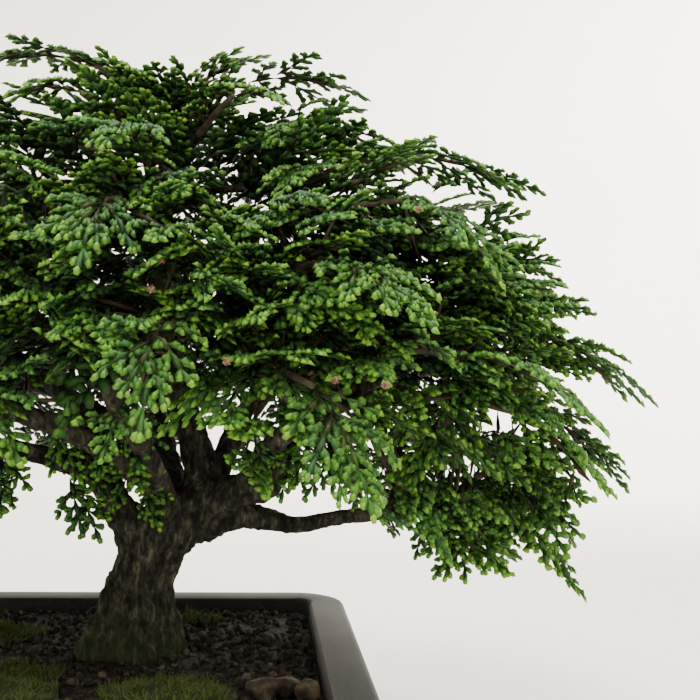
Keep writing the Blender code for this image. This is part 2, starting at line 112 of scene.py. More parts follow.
# The tree, laid out by the same rules as the solids
FOOT = POT_CENTRE + Vector((28.6, 0, 49)) * MM
# Trunk sections: height over the soil, centre x and y, radius, root flare from 0 to 1
TRUNK = (
    (-22, 0, 0, 13.0, 0.35),
    (-6, 0, 0, 16.0, 0.9),
    (1, -0.5, 0, 16.2, 1.0),
    (7, -0.6, 0, 14.6, 0.8),
    (14, 0, 0, 12.8, 0.5),
    (23, 0.8, 0, 11.4, 0.35),
    (32, 4.6, 0, 11.0, 0.3),
    (40, 9.5, 0, 11.8, 0.3),
    (48, 12.5, 1, 11.0, 0.25),
    (54, 14, 1, 8.0, 0.2),
)
# Limbs: x, y, height over the soil and radius of each point, in millimetres
LIMBS = {
    "left": ((2, 0, 32, 8), (-4, -3, 43, 6.2), (-13, -6, 60, 4.8), (-17, -7, 74, 4.2),
             (-30, -6, 90, 3.6), (-52, -3, 101, 3.0), (-78, 2, 104, 2.4)),
    "left_low": ((-12, -5, 58, 4), (-30, -14, 66, 3.4), (-54, -18, 70, 2.8),
                 (-82, -14, 70, 2.2)),
    "leader": ((12, 0, 42, 9), (20, 2, 55, 7.4), (18, 4, 68, 6), (14, 4, 80, 5.2),
               (8, 2, 104, 4.4), (6, -2, 130, 3.8), (4, 1, 156, 3.0), (3, 0, 182, 2.2)),
    "right_up": ((16, -1, 46, 8), (30, -4, 54, 6), (43, -5, 56, 4.8), (47, -6, 66, 4.2),
                 (58, -8, 80, 3.8), (80, -8, 94, 3.2), (102, -6, 104, 2.4)),
    "right_low": ((18, 2, 42, 7), (33, 3, 45, 5), (43, 3, 44, 4.2), (54, 4, 42, 3.2),
                  (70, 4, 45, 2.9), (88, 3, 47, 2.8), (101, 2, 51, 2.8), (113, 0, 55, 2.3)),
    "right_back": ((20, 4, 52, 6), (28, 12, 66, 4.6), (34, 24, 82, 3.8),
                   (50, 38, 94, 3.2), (70, 46, 100, 2.4)),
    "back": ((12, 6, 46, 6), (6, 22, 64, 4.4), (0, 38, 78, 3.6), (-2, 54, 86, 2.6)),
    "left_back": ((8, 12, 56, 4.6), (-10, 24, 72, 4), (-34, 36, 86, 3.2),
                  (-58, 44, 92, 2.4)),
    "front": ((10, -5, 44, 6), (6, -20, 62, 4.4), (2, -38, 76, 3.4), (-2, -54, 84, 2.6)),
    "front_left": ((5, -16, 58, 4), (-14, -28, 72, 3.6), (-38, -40, 82, 3),
                   (-58, -46, 86, 2.4)),
    "front_right": ((34, -4, 54, 4.4), (42, -20, 68, 3.8), (54, -36, 80, 3.2),
                    (70, -46, 86, 2.4)),
}
CROWN_CENTRE = (5, 0)
CROWN_DEPTH_SHARE = 0.68
# Tiers of leafy branches, in millimetres: count, first azimuth in degrees, height and
# distance out at the root and at the tip, and how much more those at the front rise
TIERS = (
    (8, 20, 72, 98, 63, 166, 24),
    (8, 0, 92, 94, 88, 166, 12),
    (8, 22, 114, 86, 116, 158, 4),
    (7, 4, 138, 70, 146, 146, 0),
    (6, 32, 158, 50, 172, 122, 0),
    (6, 0, 178, 26, 194, 84, 0),
)
AZIMUTH_JITTER = 7
HEIGHT_JITTER = 5
REACH_JITTER = 7
SEED = 7
# Branches given one by one: root and tip
PLACED_PADS = {
    "right_reach": ((116, -2, 60), (182, -10, 84)),
    "right_hang": ((108, 2, 50), (150, -20, 38)),
    "crown_left": ((2, -1, 188), (-44, -12, 213)),
    "crown_back": ((3, 3, 188), (8, 40, 210)),
    "crown_right": ((5, 0, 188), (58, -6, 209)),
}
# Fans, as shares of their branch's length: place along the twig, yaw, pitch, length
FANS = (
    (1.00, 0, -18, 0.64),
    (0.52, 90, -12, 0.62),
    (0.52, -90, -12, 0.62),
    (0.12, 0, 28, 0.62),
)
TWIG_SHARE = 0.5
# In millimetres: a twig's gap to its branch, and how near to the tip of a listed branch
# no other of the lowest tier ends
GAP = 0.3
NEAR_PLACED = 40
FAN_WIDTH_SHARE = 0.95
FAN_DROOP = 0.9
FAN_CUP = 0.5
# Corners of a solid fan by which it is found, as shares of its length
FAN_CORNERS = (
    (0.50, 0.52), (0.80, 0.42), (0.92, 0.30), (1.04, 0.09), (1.04, -0.09), (0.92, -0.30),
    (0.80, -0.42), (0.50, -0.52),
)
# Bends that a solid fan may have been given: pitch, roll and share of its length
BENDS = (
    (0, 0, 1), (9, 0, 1), (-9, 0, 1), (18, 0, 1), (-18, 0, 1), (0, 16, 1), (0, -16, 1),
    (12, 14, 0.85), (-12, -14, 0.85), (24, 0, 0.8), (-24, 0, 0.8), (0, 0, 0.7),
    (14, 0, 0.6), (-14, 0, 0.6),
)

# Sprays of scale leaves
PLUME_LENGTHS = (30, 25, 20, 16, 12)
VARIANTS = 5
FINGER_PITCH = 2.2 * MM
KNOB_PITCH = 1.65 * MM
KNOB = (2.1 * MM, 1.7 * MM, 1.1 * MM)
# The reach that sets the bend of a plume on no solid fan, and the width of its stem
FREE_REACH = 45 * MM
STEM_WIDTH = 1.3 * MM
LOBE_CORNERS = 6
LOBE_FACES = (
    (0, 4, 5), (4, 3, 5), (3, 2, 5), (2, 1, 5), (1, 0, 5), (4, 0, 1), (4, 1, 2), (4, 2, 3),
)
# Plumes on a fan: share along its rib, yaw, length as a share of the fan's
PLUMES = (
    (0.40, 0, 0.66),
    (0.10, 62, 0.48),
    (0.12, -62, 0.48),
    (0.25, 39, 0.60),
    (0.27, -39, 0.60),
    (0.45, 20, 0.50),
    (0.47, -20, 0.50),
)
# Height above the trunk's foot and reach of the crown's surface, in mm
CROWN_PROFILE = (
    (34, 138), (58, 154), (74, 162), (92, 160), (116, 152), (146, 138), (172, 106), (192, 66),
    (202, 26),
)
# Plumes hanging under the crown: a box of tips from the trunk's foot, in mm, and a count
HANGING = (
    ((-62, -36, 36), (-36, -14, 58), 9),
    ((-16, -34, 38), (14, -16, 62), 11),
    ((40, -30, 44), (78, 0, 60), 8),
    ((92, -42, 30), (150, 20, 58), 18),
)
# Small dry cones, as their place across and up in the plane of the trunk, in mm
CONES = ((34, 181), (30, 174), (55, 149), (84, 145), (94.5, 145), (112, 140), (125, 203))
CONE_SCALES = 16
OUTER_PLUMES = 585
INNER_PLUMES = 800
SECTORS = 8
GOLDEN_ANGLE = 137.5

# The grid that joins the wood, and the height of the green film at the trunk's foot
WOOD_VOXEL = 1.25 * MM
FILM_HEIGHT = 20 * MM

# The camera: its place, its yaw, pitch and roll in degrees, and its focal length and
# the photo's width in pixels
CAMERA_AT = POT_CENTRE + Vector((70.8, -305.3, 132)) * MM
CAMERA_TURN = (5.4, 3.99, 1.3)
FOCAL_PIXELS = 861
PHOTO_PIXELS = 700
SENSOR_WIDTH = 36

# The stage: radius of its flat floor, radius of the curve up to the wall, and its top
STAGE_FLAT = 1.4
STAGE_CURVE = 0.9
STAGE_TOP = 3.0

# Materials whose colour follows one noise, or the mesh's own tint where there is None:
# roughness, specular level, the noise's scale and detail, the stops of the colour, and
# the bump's scale, detail, strength and depth
PLAIN_MATERIALS = {
    "dry_cone": (
        0.8, 0.5, None, ((0.0, (0.060, 0.030, 0.014)), (1.0, (0.190, 0.110, 0.055))),
        (1500, 3, 0.4, 0.3 * MM),
    ),
    "twig": (
        0.8, 0.5, (400, 4), ((0.35, (0.024, 0.018, 0.010)), (0.65, (0.070, 0.052, 0.030))),
        (900, 3, 0.4, 0.3 * MM),
    ),
    "grit": (
        0.95, 0.2, None,
        ((0.0, (0.009, 0.009, 0.007)), (0.6, (0.022, 0.020, 0.015)),
         (1.0, (0.070, 0.056, 0.038))),
        (1200, 4, 0.6, 0.4 * MM),
    ),
    "damp_soil": (
        0.95, 0.2, (500, 6),
        ((0.35, (0.006, 0.005, 0.004)), (0.55, (0.018, 0.014, 0.010)),
         (0.75, (0.050, 0.038, 0.026))),
        (500, 6, 1.0, 1.5 * MM),
    ),
    "river_stone": (
        0.85, 0.2, (220, 5),
        ((0.34, (0.007, 0.005, 0.003)), (0.5, (0.026, 0.019, 0.011)),
         (0.68, (0.080, 0.060, 0.036))),
        (900, 4, 0.25, 0.4 * MM),
    ),
    "black_plastic": (
        0.5, 0.5, (700, 3), ((0.3, (0.012, 0.012, 0.012)), (0.7, (0.026, 0.026, 0.026))),
        (700, 3, 0.2, 0.2 * MM),
    ),
    "pale_wall": (
        0.9, 0.1, (1.2, 3), ((0.35, (0.862, 0.828, 0.760)), (0.65, (0.895, 0.870, 0.818))),
        None,
    ),
}


def smooth_path(points, per_span):
    """A curve through all the points, with this many steps from each to the next."""
    ends = [points[0] * 2 - points[1], *points, points[-1] * 2 - points[-2]]
    path = []
    for i in range(1, len(ends) - 2):
        a, b, c, d = ends[i - 1:i + 3]
        for step in range(per_span):
            t = step / per_span
            path.append(0.5 * (
                2 * b + (c - a) * t + (2 * a - 5 * b + 4 * c - d) * t * t
                + (3 * b - a - 3 * c + d) * t * t * t
            ))
    path.append(points[-1].copy())
    return path


def pads():
    """Each leafy branch's name, root, tip and own random generator."""
    placed = []
    draw = random.Random(SEED)
    for tier, (count, first, z_root, out_root, z_tip, out_tip, raise_front) in enumerate(
        TIERS, 1
    ):
        for k in range(count):
            azimuth = math.radians(
                first + 360 * k / count + draw.uniform(-1, 1) * AZIMUTH_JITTER
            )
            lift = draw.uniform(-1, 1) * HEIGHT_JITTER
            lift += raise_front * max(0, -math.sin(azimuth))
            stretch = draw.uniform(-1, 1) * REACH_JITTER
            away = Vector((math.cos(azimuth), CROWN_DEPTH_SHARE * math.sin(azimuth), 0))
            centre = Vector((*CROWN_CENTRE, 0))
            root = centre + away * out_root + Vector((0, 0, z_root + lift))
            tip = centre + away * (out_tip + stretch) + Vector((0, 0, z_tip + lift))
            if tier == 1 and is_near_placed(tip):
                continue
            placed.append((f"foliage_tier{tier}_{k + 1}", root, tip))
    for name, (root, tip) in PLACED_PADS.items():
        placed.append(("foliage_" + name, Vector(root), Vector(tip)))
    return [
        (name, FOOT + root * MM, FOOT + tip * MM, random.Random(f"{SEED} {name}"))
        for name, root, tip in placed
    ]


def is_near_placed(tip):
    """Whether a listed branch ends close by."""
    near = [Vector(t) for _, t in PLACED_PADS.values()]
    return any((tip - t).length < NEAR_PLACED for t in near)


def twig_path(root, tip):
    """A leafy branch's twig: 4D points from its root outwards."""
    run = tip - root
    heading = run.normalized()
    start = root + heading * GAP * MM
    end = root + run * TWIG_SHARE
    sag = Vector((0, 0, -0.04 * run.length))
    mid = start.lerp(end, 0.5) - sag * 0.6
    return [
        Vector((*start, 1.4 * MM)),
        Vector((*(start + heading * 4 * MM), 1.3 * MM)),
        Vector((*mid, 1.2 * MM)),
        Vector((*end, 0.9 * MM)),
    ]


def along(path, share):
    """The point at this share of the way along a path."""
    place = share * (len(path) - 1)
    i = min(int(place), len(path) - 2)
    return path[i].lerp(path[i + 1], place - i).xyz


def fan_placings(root, tip, draw):
    """Each fan's origin, heading, face normal and length."""
    run = tip - root
    size = run.length
    heading = run.normalized()
    side = Vector((0, 0, 1)).cross(heading).normalized()
    up = heading.cross(side)
    path = twig_path(root, tip)
    placings = []
    for share, yaw, pitch, length in FANS:
        yaw = math.radians(yaw + draw.uniform(-7, 7))
        pitch = math.radians(pitch + draw.uniform(-9, 9))
        roll = math.radians(draw.uniform(-14, 14))
        aim = heading * math.cos(yaw) + side * math.sin(yaw)
        across = up.cross(aim)
        aim = aim * math.cos(pitch) + up * math.sin(pitch)
        normal = aim.cross(across).normalized()
        normal = Quaternion(aim, roll) @ normal
        length = size * length * draw.uniform(0.92, 1.08)
        placings.append((along(path, share), aim, normal, length))
    return placings


def on_fan(origin, aim, normal, length, u, v):
    """A point of a fan's middle surface, as the solids have it."""
    droop = FAN_DROOP * u * u / length / 2
    cup = FAN_CUP * v * v / length
    return origin + aim * u + normal.cross(aim) * v - normal * (droop + cup)


def nearest_of(points):
    """A tree to look up the nearest of these points."""
    tree = KDTree(len(points))
    for i, point in enumerate(points):
        tree.insert(point, i)
    tree.balance()
    return tree


def built_fans(node, root, tip, draw):
    """The fans that the solid has, each with the bend that it was given."""
    tree = nearest_of([vertex.co for vertex in frame["nodes"][node].data.vertices])
    found = []
    for origin, aim, normal, length in fan_placings(root, tip, draw):
        for pitch, roll, share in BENDS:
            across = normal.cross(aim)
            turn = Quaternion(across, math.radians(-pitch))
            turn = Quaternion(aim, math.radians(roll)) @ turn
            fan = (origin, turn @ aim, turn @ normal, length * share)
            met = 0
            for u, v in FAN_CORNERS:
                at = on_fan(*fan, u * fan[3], v * fan[3] * FAN_WIDTH_SHARE)
                met += tree.find(at)[2] < 0.05 * MM
            if met >= 3:
                found.append(fan)
                break
    return found


# The sprays

def lobe(x, y, angle, length, width, thickness, lift, tint):
    """Corners of one scale-leaf lobe: its base, four round its blunt end, one on top."""
    middle = lift * 0.6
    points = (
        (0, 0, 0), (0.5 * length, 0.5 * width, middle), (0.94 * length, 0.3 * width, lift),
        (0.94 * length, -0.3 * width, lift), (0.5 * length, -0.5 * width, middle),
        (0.62 * length, 0, middle + thickness),
    )
    c, s = math.cos(angle), math.sin(angle)
    return [(x + u * c - v * s, y + u * s + v * c, w) for u, v, w in points], tint


def plume_template(length, draw, coarse):
    """A flat plume of alternate fingers, each a string of knobs. Returns its points, and
    each point's share of the way from the old wood to the fresh tips; the leaves are darker at
    low shares, partly as painted shade."""
    lobes = []
    steps = max(3, round(length / (6 * MM)))
    for k in range(steps):
        lobes.append(lobe(length * k / steps * 0.95, 0, 0, length / steps * 1.15, 1.8 * MM,
                          1.3 * MM, 0, 0.14 + 0.35 * k / steps))
    u = 0.10 * length
    side = draw.choice((-1, 1))
    while u < length - 2.2 * MM:
        share = u / length
        reach = min(10 * MM, length * 0.44) * min(1, 0.42 + 2.4 * share)
        reach *= (1 - share) ** 0.55 * draw.uniform(0.82, 1.12)
        reach = max(reach, 2.3 * MM)
        angle = side * math.radians(draw.uniform(42, 52) - 14 * share)
        finger(lobes, u, angle, reach, draw, share, coarse)
        u += FINGER_PITCH * draw.uniform(0.85, 1.15) * (1.1 if coarse else 1)
        side = -side
    lobes.append(lobe(length - 2.6 * MM, 0, 0, 2.7 * MM, 1.9 * MM, 1.2 * MM, 0, 1))
    points = np.array([p for corners, _ in lobes for p in corners])
    tints = np.repeat([tint for _, tint in lobes], LOBE_CORNERS)
    return points, tints


def finger(lobes, x, angle, reach, draw, share, coarse):
    """One finger of a plume: its axis, knobs on alternate sides and a blunt end."""
    c, s = math.cos(angle), math.sin(angle)
    long, wide, thick = KNOB
    rise = draw.uniform(-0.05, 0.16)
    if coarse:
        lobes.append(lobe(x, 0, angle, reach, 2.7 * MM, 1.2 * MM, rise * reach,
                          0.45 + 0.2 * share))
        return
    if reach > 3.2 * MM:
        lobes.append(lobe(x, 0, angle, reach * 0.95, 1.9 * MM, 1.2 * MM, rise * reach,
                          0.35 + 0.3 * share))
    at = 1.3 * MM
    side = draw.choice((-1, 1))
    while at < reach - 2.3 * MM:
        out = at / reach
        turn = side * math.radians(draw.uniform(28, 40))
        size = draw.uniform(0.85, 1.12)
        lobes.append(lobe(
            x + at * c, at * s, angle + turn, long * size, wide * size, thick,
            rise * at + draw.uniform(-0.1, 0.4) * MM, 0.34 + 0.22 * out + 0.40 * share,
        ))
        at += KNOB_PITCH * draw.uniform(0.9, 1.15)
        side = -side
    end = reach - 2.4 * MM
    lobes.append(lobe(
        x + max(end, 0) * c, max(end, 0) * s, angle + math.radians(draw.uniform(-9, 9)),
        2.4 * MM * draw.uniform(0.9, 1.1), 1.8 * MM, 1.2 * MM, rise * reach,
        0.56 + 0.44 * share,
    ))


def make_templates():
    draw = random.Random(11)
    return {
        (size, coarse): [plume_template(size * MM, draw, coarse) for _ in range(VARIANTS)]
        for size in PLUME_LENGTHS
        for coarse in (False, True)
    }


def place_plume(templates, fan, u0, v0, yaw, length, draw, shade_layer, coarse=False):
    """One plume laid on a fan's bent surface: its points, colours and flips."""
    origin, aim, normal, reach = fan
    size = min(PLUME_LENGTHS, key=lambda s: abs(s * MM - length))
    points, tints = templates[size, coarse][draw.randrange(VARIANTS)]
    fit = length / (size * MM)
    mirror = draw.choice((-1, 1))
    p, q, w = (points * (fit, fit * mirror, 1)).T
    tilt = math.tan(math.radians(draw.uniform(-8, 9)))
    twist = draw.uniform(-0.25, 0.25)
    wave = 0.5 * MM * np.sin(p / length * 6 + draw.uniform(0, 6))
    w = w + p * tilt + 0.10 * p * p / length + twist * q * p / length + wave
    w = w - 0.35 * q * q / length + draw.uniform(0, 1.4) * MM
    c, s = math.cos(math.radians(yaw)), math.sin(math.radians(yaw))
    u = u0 + p * c - q * s
    v = v0 + p * s + q * c
    lift = w - FAN_DROOP * u * np.abs(u) / reach / 2 - FAN_CUP * v * v / reach
    placed = (
        np.array(origin) + np.outer(u, np.array(aim))
        + np.outer(v, np.array(normal.cross(aim))) + np.outer(lift, np.array(normal))
    )
    # The colour's third part is the plume's layer of painted shade, darker deeper in the
    # crown.
    colours = np.column_stack((
        tints, np.full(len(tints), draw.random()), np.full(len(tints), shade_layer),
        np.ones(len(tints)),
    ))
    return placed, colours, np.full(len(tints), mirror < 0)


def rod(start, end, width, tint):
    """A thin stem from one point to another, as one long lobe."""
    run = end - start
    aim = run.normalized()
    side = aim.orthogonal().normalized()
    up = aim.cross(side)
    corners, _ = lobe(0, 0, 0, run.length, width, width, 0, tint)
    placed = np.array([start + aim * u + side * v + up * w for u, v, w in corners])
    # Stems get a middle layer of painted shade.
    colours = np.tile((tint, 0.5, 0.5, 1), (LOBE_CORNERS, 1))
    return placed, colours, np.zeros(LOBE_CORNERS, dtype=bool)


def leafy_branch(node, root, tip, draw, templates):
    """All plumes of one leafy branch."""
    blocks = []
    for fan in built_fans(node, root, tip, draw):
        length = fan[3]
        knots = [on_fan(*fan, length * k / 4, 0) for k in range(4)]
        for a, b in zip(knots, knots[1:]):
            blocks.append(rod(a, b + (b - a) * 0.15, 1.5 * MM, 0.02))
        for share, yaw, size in PLUMES:
            u = (share + draw.uniform(-0.04, 0.04)) * length
            yaw += draw.uniform(-6, 6)
            size *= length * draw.uniform(0.94, 1.06)
            # Plumes on the leafy branches get no painted shade.
            blocks.append(place_plume(templates, fan, u, 0, yaw, size, draw, 0))
    return blocks


def crown_point(share):
    """Height and reach at this share of the way up the crown's outline."""
    spans = [math.dist(a, b) for a, b in zip(CROWN_PROFILE, CROWN_PROFILE[1:])]
    place = share * sum(spans)
    for (a, b), span in zip(zip(CROWN_PROFILE, CROWN_PROFILE[1:]), spans):
        if place <= span:
            t = place / span
            return a[0] + (b[0] - a[0]) * t, a[1] + (b[1] - a[1]) * t
        place -= span
    return CROWN_PROFILE[-1]


def stemmed_plume(templates, skeleton, fan, length, draw, shade_layer, sides=None, coarse=False):
    """A plume off the solid fans, with its stem from the wood. Sides, where given, is for
    a smaller plume on each side: where they start, how far they spread, their layer of painted
    shade."""
    base, aim = fan[:2]
    blocks = [place_plume(templates, fan, 0, 0, 0, length, draw, shade_layer, coarse)]
    if sides:
        start, spread, side_shade_layer = sides
        for side in (-1, 1):
            yaw = side * draw.uniform(34, spread)
            size = length * draw.uniform(0.5, 0.66)
            blocks.append(place_plume(
                templates, fan, length * start, 0, yaw, size, draw, side_shade_layer,
            ))
    held, _, _ = skeleton.find(base)
    blocks.append(rod(held, base + aim * 3 * MM, STEM_WIDTH, 0.0))
    return blocks


def hanging_plumes(templates, skeleton):
    """Plumes that hang below the crown in front of the trunk and at its left."""
    draw = random.Random(9)
    made = []
    for low, high, count in HANGING:
        for _ in range(count):
            tip = Vector([draw.uniform(a, b) for a, b in zip(low, high)])
            aim = Vector((draw.uniform(-0.6, 0.6), draw.uniform(-0.6, 0), -1)).normalized()
            front = Vector((draw.uniform(-0.4, 0.4), -1, 0.2))
            normal = (front - aim * front.dot(aim)).normalized()
            length = draw.uniform(16, 25) * MM
            base = FOOT + tip * MM - aim * length
            fan = (base, aim, normal, FREE_REACH)
            # Painted shade: plumes hanging under the crown and their side plumes are darkened
            # by their layer.
            blocks = stemmed_plume(
                templates, skeleton, fan, length, draw, 0.3, (0.2, 50, 0.4)
            )
            made.append((draw.uniform(0, 2 * math.pi), blocks))
    return made


def between_plumes(templates, skeleton, count, near, far, coarse, seed):
    """Plumes that fill the crown between the leafy branches, each with its stem."""
    draw = random.Random(seed)
    made = []
    turn = 0
    while len(made) < count:
        z, out = crown_point(draw.choice((
            draw.random() ** 1.3, draw.uniform(0.0, 0.52), draw.uniform(0.28, 0.50),
        )))
        if draw.random() > out / 150 + 0.12:
            continue
        turn += GOLDEN_ANGLE
        azimuth = math.radians(turn + draw.uniform(-14, 14))
        away = Vector((math.cos(azimuth), CROWN_DEPTH_SHARE * math.sin(azimuth), 0))
        reach = out * draw.uniform(near, far)
        tip = Vector((*CROWN_CENTRE, 0)) + away * reach + Vector((0, 0, z))
        tip.z -= (1 - reach / out) * 16
        if tip.z < 62 and -64 < tip.x < 84 or coarse and tip.z < 84:
            continue
        rise = (z - 95) / 130
        if z < 160:
            rise -= 0.24 if coarse else 0.10
        azimuth += math.radians(draw.uniform(-28, 28))
        aim = Vector((math.cos(azimuth), math.sin(azimuth), rise + draw.uniform(-0.3, 0.2)))
        aim.normalize()
        across = Vector((0, 0, 1)).cross(aim).normalized()
        normal = Quaternion(aim, math.radians(draw.uniform(-38, 38))) @ aim.cross(across)
        length = draw.uniform(28, 37) * MM if coarse else draw.uniform(19, 30) * MM
        base = FOOT + tip * MM - aim * length * 0.97
        fan = (base, aim, normal, FREE_REACH)
        # Painted shade: the coarse plumes deep inside get the darkest layer, the outer plumes
        # and their side plumes a lighter one.
        shade_layer, sides = (1, None) if coarse else (0.4, (0.22, 52, 0.5))
        blocks = stemmed_plume(
            templates, skeleton, fan, length, draw, shade_layer, sides, coarse
        )
        made.append((azimuth % (2 * math.pi), blocks))
    return made


def placed_object(name, mesh, collection):
    """A new object with this mesh, in this collection."""
    made = bpy.data.objects.new(name, mesh)
    collection.objects.link(made)
    return made


def mesh_of(name, blocks, collection, pattern=LOBE_FACES, corners=LOBE_CORNERS):
    """One object from blocks of points in groups of as many corners, each with these faces
    and a colour: share of the way to the tip, tone, layer of painted shade."""
    points = np.concatenate([b[0] for b in blocks])
    colours = np.concatenate([b[1] for b in blocks])
    flips = np.concatenate([b[2] for b in blocks])
    count = len(points) // corners
    faces = np.array(pattern)[None] + (np.arange(count) * corners)[:, None, None]
    flipped = flips.reshape(count, corners)[:, 0].astype(bool)
    faces[flipped] = faces[flipped][:, :, ::-1]
    faces = faces.reshape(-1, 3)
    mesh = bpy.data.meshes.new(name)
    mesh.vertices.add(len(points))
    mesh.vertices.foreach_set("co", points.astype(np.float32).ravel())
    mesh.loops.add(len(faces) * 3)
    mesh.loops.foreach_set("vertex_index", faces.astype(np.int32).ravel())
    mesh.polygons.add(len(faces))
    mesh.polygons.foreach_set("loop_start", np.arange(0, len(faces) * 3, 3, dtype=np.int32))
    mesh.polygons.foreach_set("use_smooth", np.ones(len(faces), dtype=bool))
    mesh.update()
    attribute = mesh.color_attributes.new("tint", "FLOAT_COLOR", "POINT")
    attribute.data.foreach_set("color", colours.astype(np.float32).ravel())
    return placed_object(name, mesh, collection)


def make_foliage(collection, leaf, bark):
    """A piece of sprays and a twig for each leafy branch, and filler sprays by sector."""
    templates = make_templates()
    skeleton = wood_points()
    for node, root, tip, draw in pads():
        blocks = leafy_branch(node, root, tip, draw, templates)
        piece = mesh_of("sprays_" + node, blocks, collection)
        piece.data.materials.append(leaf)
        twig = make_tube("twig_" + node, smooth_path(twig_path(root, tip), 3), 6)
        collection.objects.link(twig)
        twig.data.materials.append(bark)
        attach(piece, "root")
        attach(twig, "root")
        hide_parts(node)
    between = between_plumes(templates, skeleton, OUTER_PLUMES, 0.84, 1.0, False, 3)
    between += between_plumes(templates, skeleton, INNER_PLUMES, 0.5, 0.86, True, 4)
    between += hanging_plumes(templates, skeleton)
    for sector in range(SECTORS):
        blocks = []
        for azimuth, plume in between:
            if int(azimuth / (2 * math.pi / SECTORS)) == sector:
                blocks += plume
        piece = mesh_of(f"inner_sprays_{sector + 1}", blocks, collection)
        piece.data.materials.append(leaf)
        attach(piece, "root")


def make_cones(collection, stuff):
    """Small dry cones among the front sprays, each a ball of shield-shaped scales."""
    draw = random.Random(21)
    blocks = []
    for x, z in CONES:
        hit = nearest_leaf(POT_CENTRE + Vector((x, 0, z)) * MM)
        middle = hit + Vector((0, -0.5, 0.2)) * MM
        for k in range(CONE_SCALES):
            height = 1 - 2 * (k + 0.5) / CONE_SCALES
            angle = 2.4 * k
            flat = math.sqrt(1 - height * height)
            out = Vector((flat * math.cos(angle), flat * math.sin(angle), height))
            side = out.orthogonal().normalized()
            up = out.cross(side)
            size = draw.uniform(0.6, 0.85) * MM
            corners, _ = lobe(0, 0, 0, size * 1.4, size * 1.4, size, 0, 0)
            placed = np.array([
                middle + out * (0.6 * MM + w) + side * (u - size * 0.8) + up * v
                for u, v, w in corners
            ])
            colours = np.tile((draw.random(), 0.5, 0, 1), (LOBE_CORNERS, 1))
            blocks.append((placed, colours, np.zeros(LOBE_CORNERS, dtype=bool)))
    piece = mesh_of("dry_cones", blocks, collection)
    piece.data.materials.append(stuff)
    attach(piece, "root")


def coordinates(mesh):
    """A mesh's vertices as rows of x, y and z."""
    points = np.empty(len(mesh.vertices) * 3, dtype=np.float32)
    mesh.vertices.foreach_get("co", points)
    return points.reshape(-1, 3)


def nearest_leaf(aim):
    """The spray point nearest to the line of sight through this point, seen from the front."""
    best, found = None, None
    ahead = np.array((aim - CAMERA_AT).normalized())
    for made in bpy.data.objects:
        if not made.name.startswith(("sprays_", "inner_sprays_")):
            continue
        points = coordinates(made.data) - np.array(CAMERA_AT)
        depth = points @ ahead
        off = np.linalg.norm(points - depth[:, None] * ahead, axis=1)
        near = np.where(off < 2.0 * MM, depth, 9)
        i = int(near.argmin())
        if best is None or near[i] < best:
            best, found = near[i], Vector(points[i]) + CAMERA_AT
    return found


# The wood

def ring_frames(path):
    """Directions across a path that turn as little as they can from point to point."""
    frames = []
    up = Vector((0, 0, 1))
    for i in range(len(path)):
        ahead = (path[min(i + 1, len(path) - 1)] - path[max(i - 1, 0)]).xyz.normalized()
        side = up.cross(ahead)
        if side.length < 0.2:
            side = Vector((0, 1, 0)).cross(ahead)
        side.normalize()
        if frames and frames[-1][0].dot(side) < 0:
            side = -side
        frames.append((side, ahead.cross(side)))
    return frames


def side_faces(rows, sides):
    """The four-cornered faces between a tube's rings."""
    faces = []
    for r in range(rows - 1):
        for i in range(sides):
            j = (i + 1) % sides
            faces.append((r * sides + i, r * sides + j, (r + 1) * sides + j,
                          (r + 1) * sides + i))
    return faces


def tube_mesh(name, points, rows, sides):
    """A tube with closed ends, from its rings of points."""
    faces = side_faces(rows, sides)
    faces.append(tuple(reversed(range(sides))))
    faces.append(tuple(range((rows - 1) * sides, rows * sides)))
    mesh = bpy.data.meshes.new(name)
    mesh.from_pydata(points, [], faces)
    return mesh


def make_tube(name, path, sides):
    """A round tube along a path of 4D points, each a place and a radius."""
    points = []
    for at, (side, up) in zip(path, ring_frames(path)):
        for i in range(sides):
            angle = 2 * math.pi * i / sides
            points.append(at.xyz + (side * math.cos(angle) + up * math.sin(angle)) * at[3])
    mesh = tube_mesh(name, points, len(path), sides)
    mesh.shade_smooth()
    return bpy.data.objects.new(name, mesh)


def trunk_mesh():
    """The trunk, with lobes where its roots spread."""
    sections = smooth_path([Vector(s[:4]) for s in TRUNK], 4)
    flares = smooth_path([Vector((s[4], 0, 0)) for s in TRUNK], 4)
    sides = 64
    points = []
    for (height, x, y, radius), flare in zip(sections, flares):
        for i in range(sides):
            angle = 2 * math.pi * i / sides
            lobes = 0.16 * math.cos(5 * angle + 0.9) + 0.07 * math.cos(3 * angle + 2)
            reach = radius * (1 + flare.x * lobes)
            points.append(FOOT + Vector((
                x + reach * math.cos(angle), y + reach * math.sin(angle), height,
            )) * MM)
    return tube_mesh("trunk", points, len(sections), sides)


def limb_paths(per_span):
    foot = Vector((*FOOT, 0))
    return {
        name: smooth_path([foot + Vector(q) * MM for q in points], per_span)
        for name, points in LIMBS.items()
    }


def branch_path(root, tip, limbs):
    """A branch from the nearest fitting limb point to a leafy branch's root."""
    heading = (tip - root).normalized()
    best = None
    for path in limbs.values():
        for at in path[1:]:
            place = at.xyz
            to_root = root - place
            turn = 1 - to_root.normalized().dot(heading) if to_root.length > 1e-6 else 0
            drop = max(0, place.z - root.z)
            cost = to_root.length * (1 + 0.7 * turn) + 1.5 * drop
            if best is None or cost < best[0]:
                best = (cost, at)
    start = best[1]
    reach = (root - start.xyz).length
    mid = start.xyz.lerp(root, 0.55) - heading * reach * 0.12 + Vector((0, 0, reach * 0.05))
    before = root - heading * min(6 * MM, reach * 0.3)
    return [
        Vector((*start.xyz, min(start.w * 0.8, 2.6 * MM))),
        Vector((*mid, 1.9 * MM)),
        Vector((*before, 1.5 * MM)),
        Vector((*root, 1.4 * MM)),
    ]


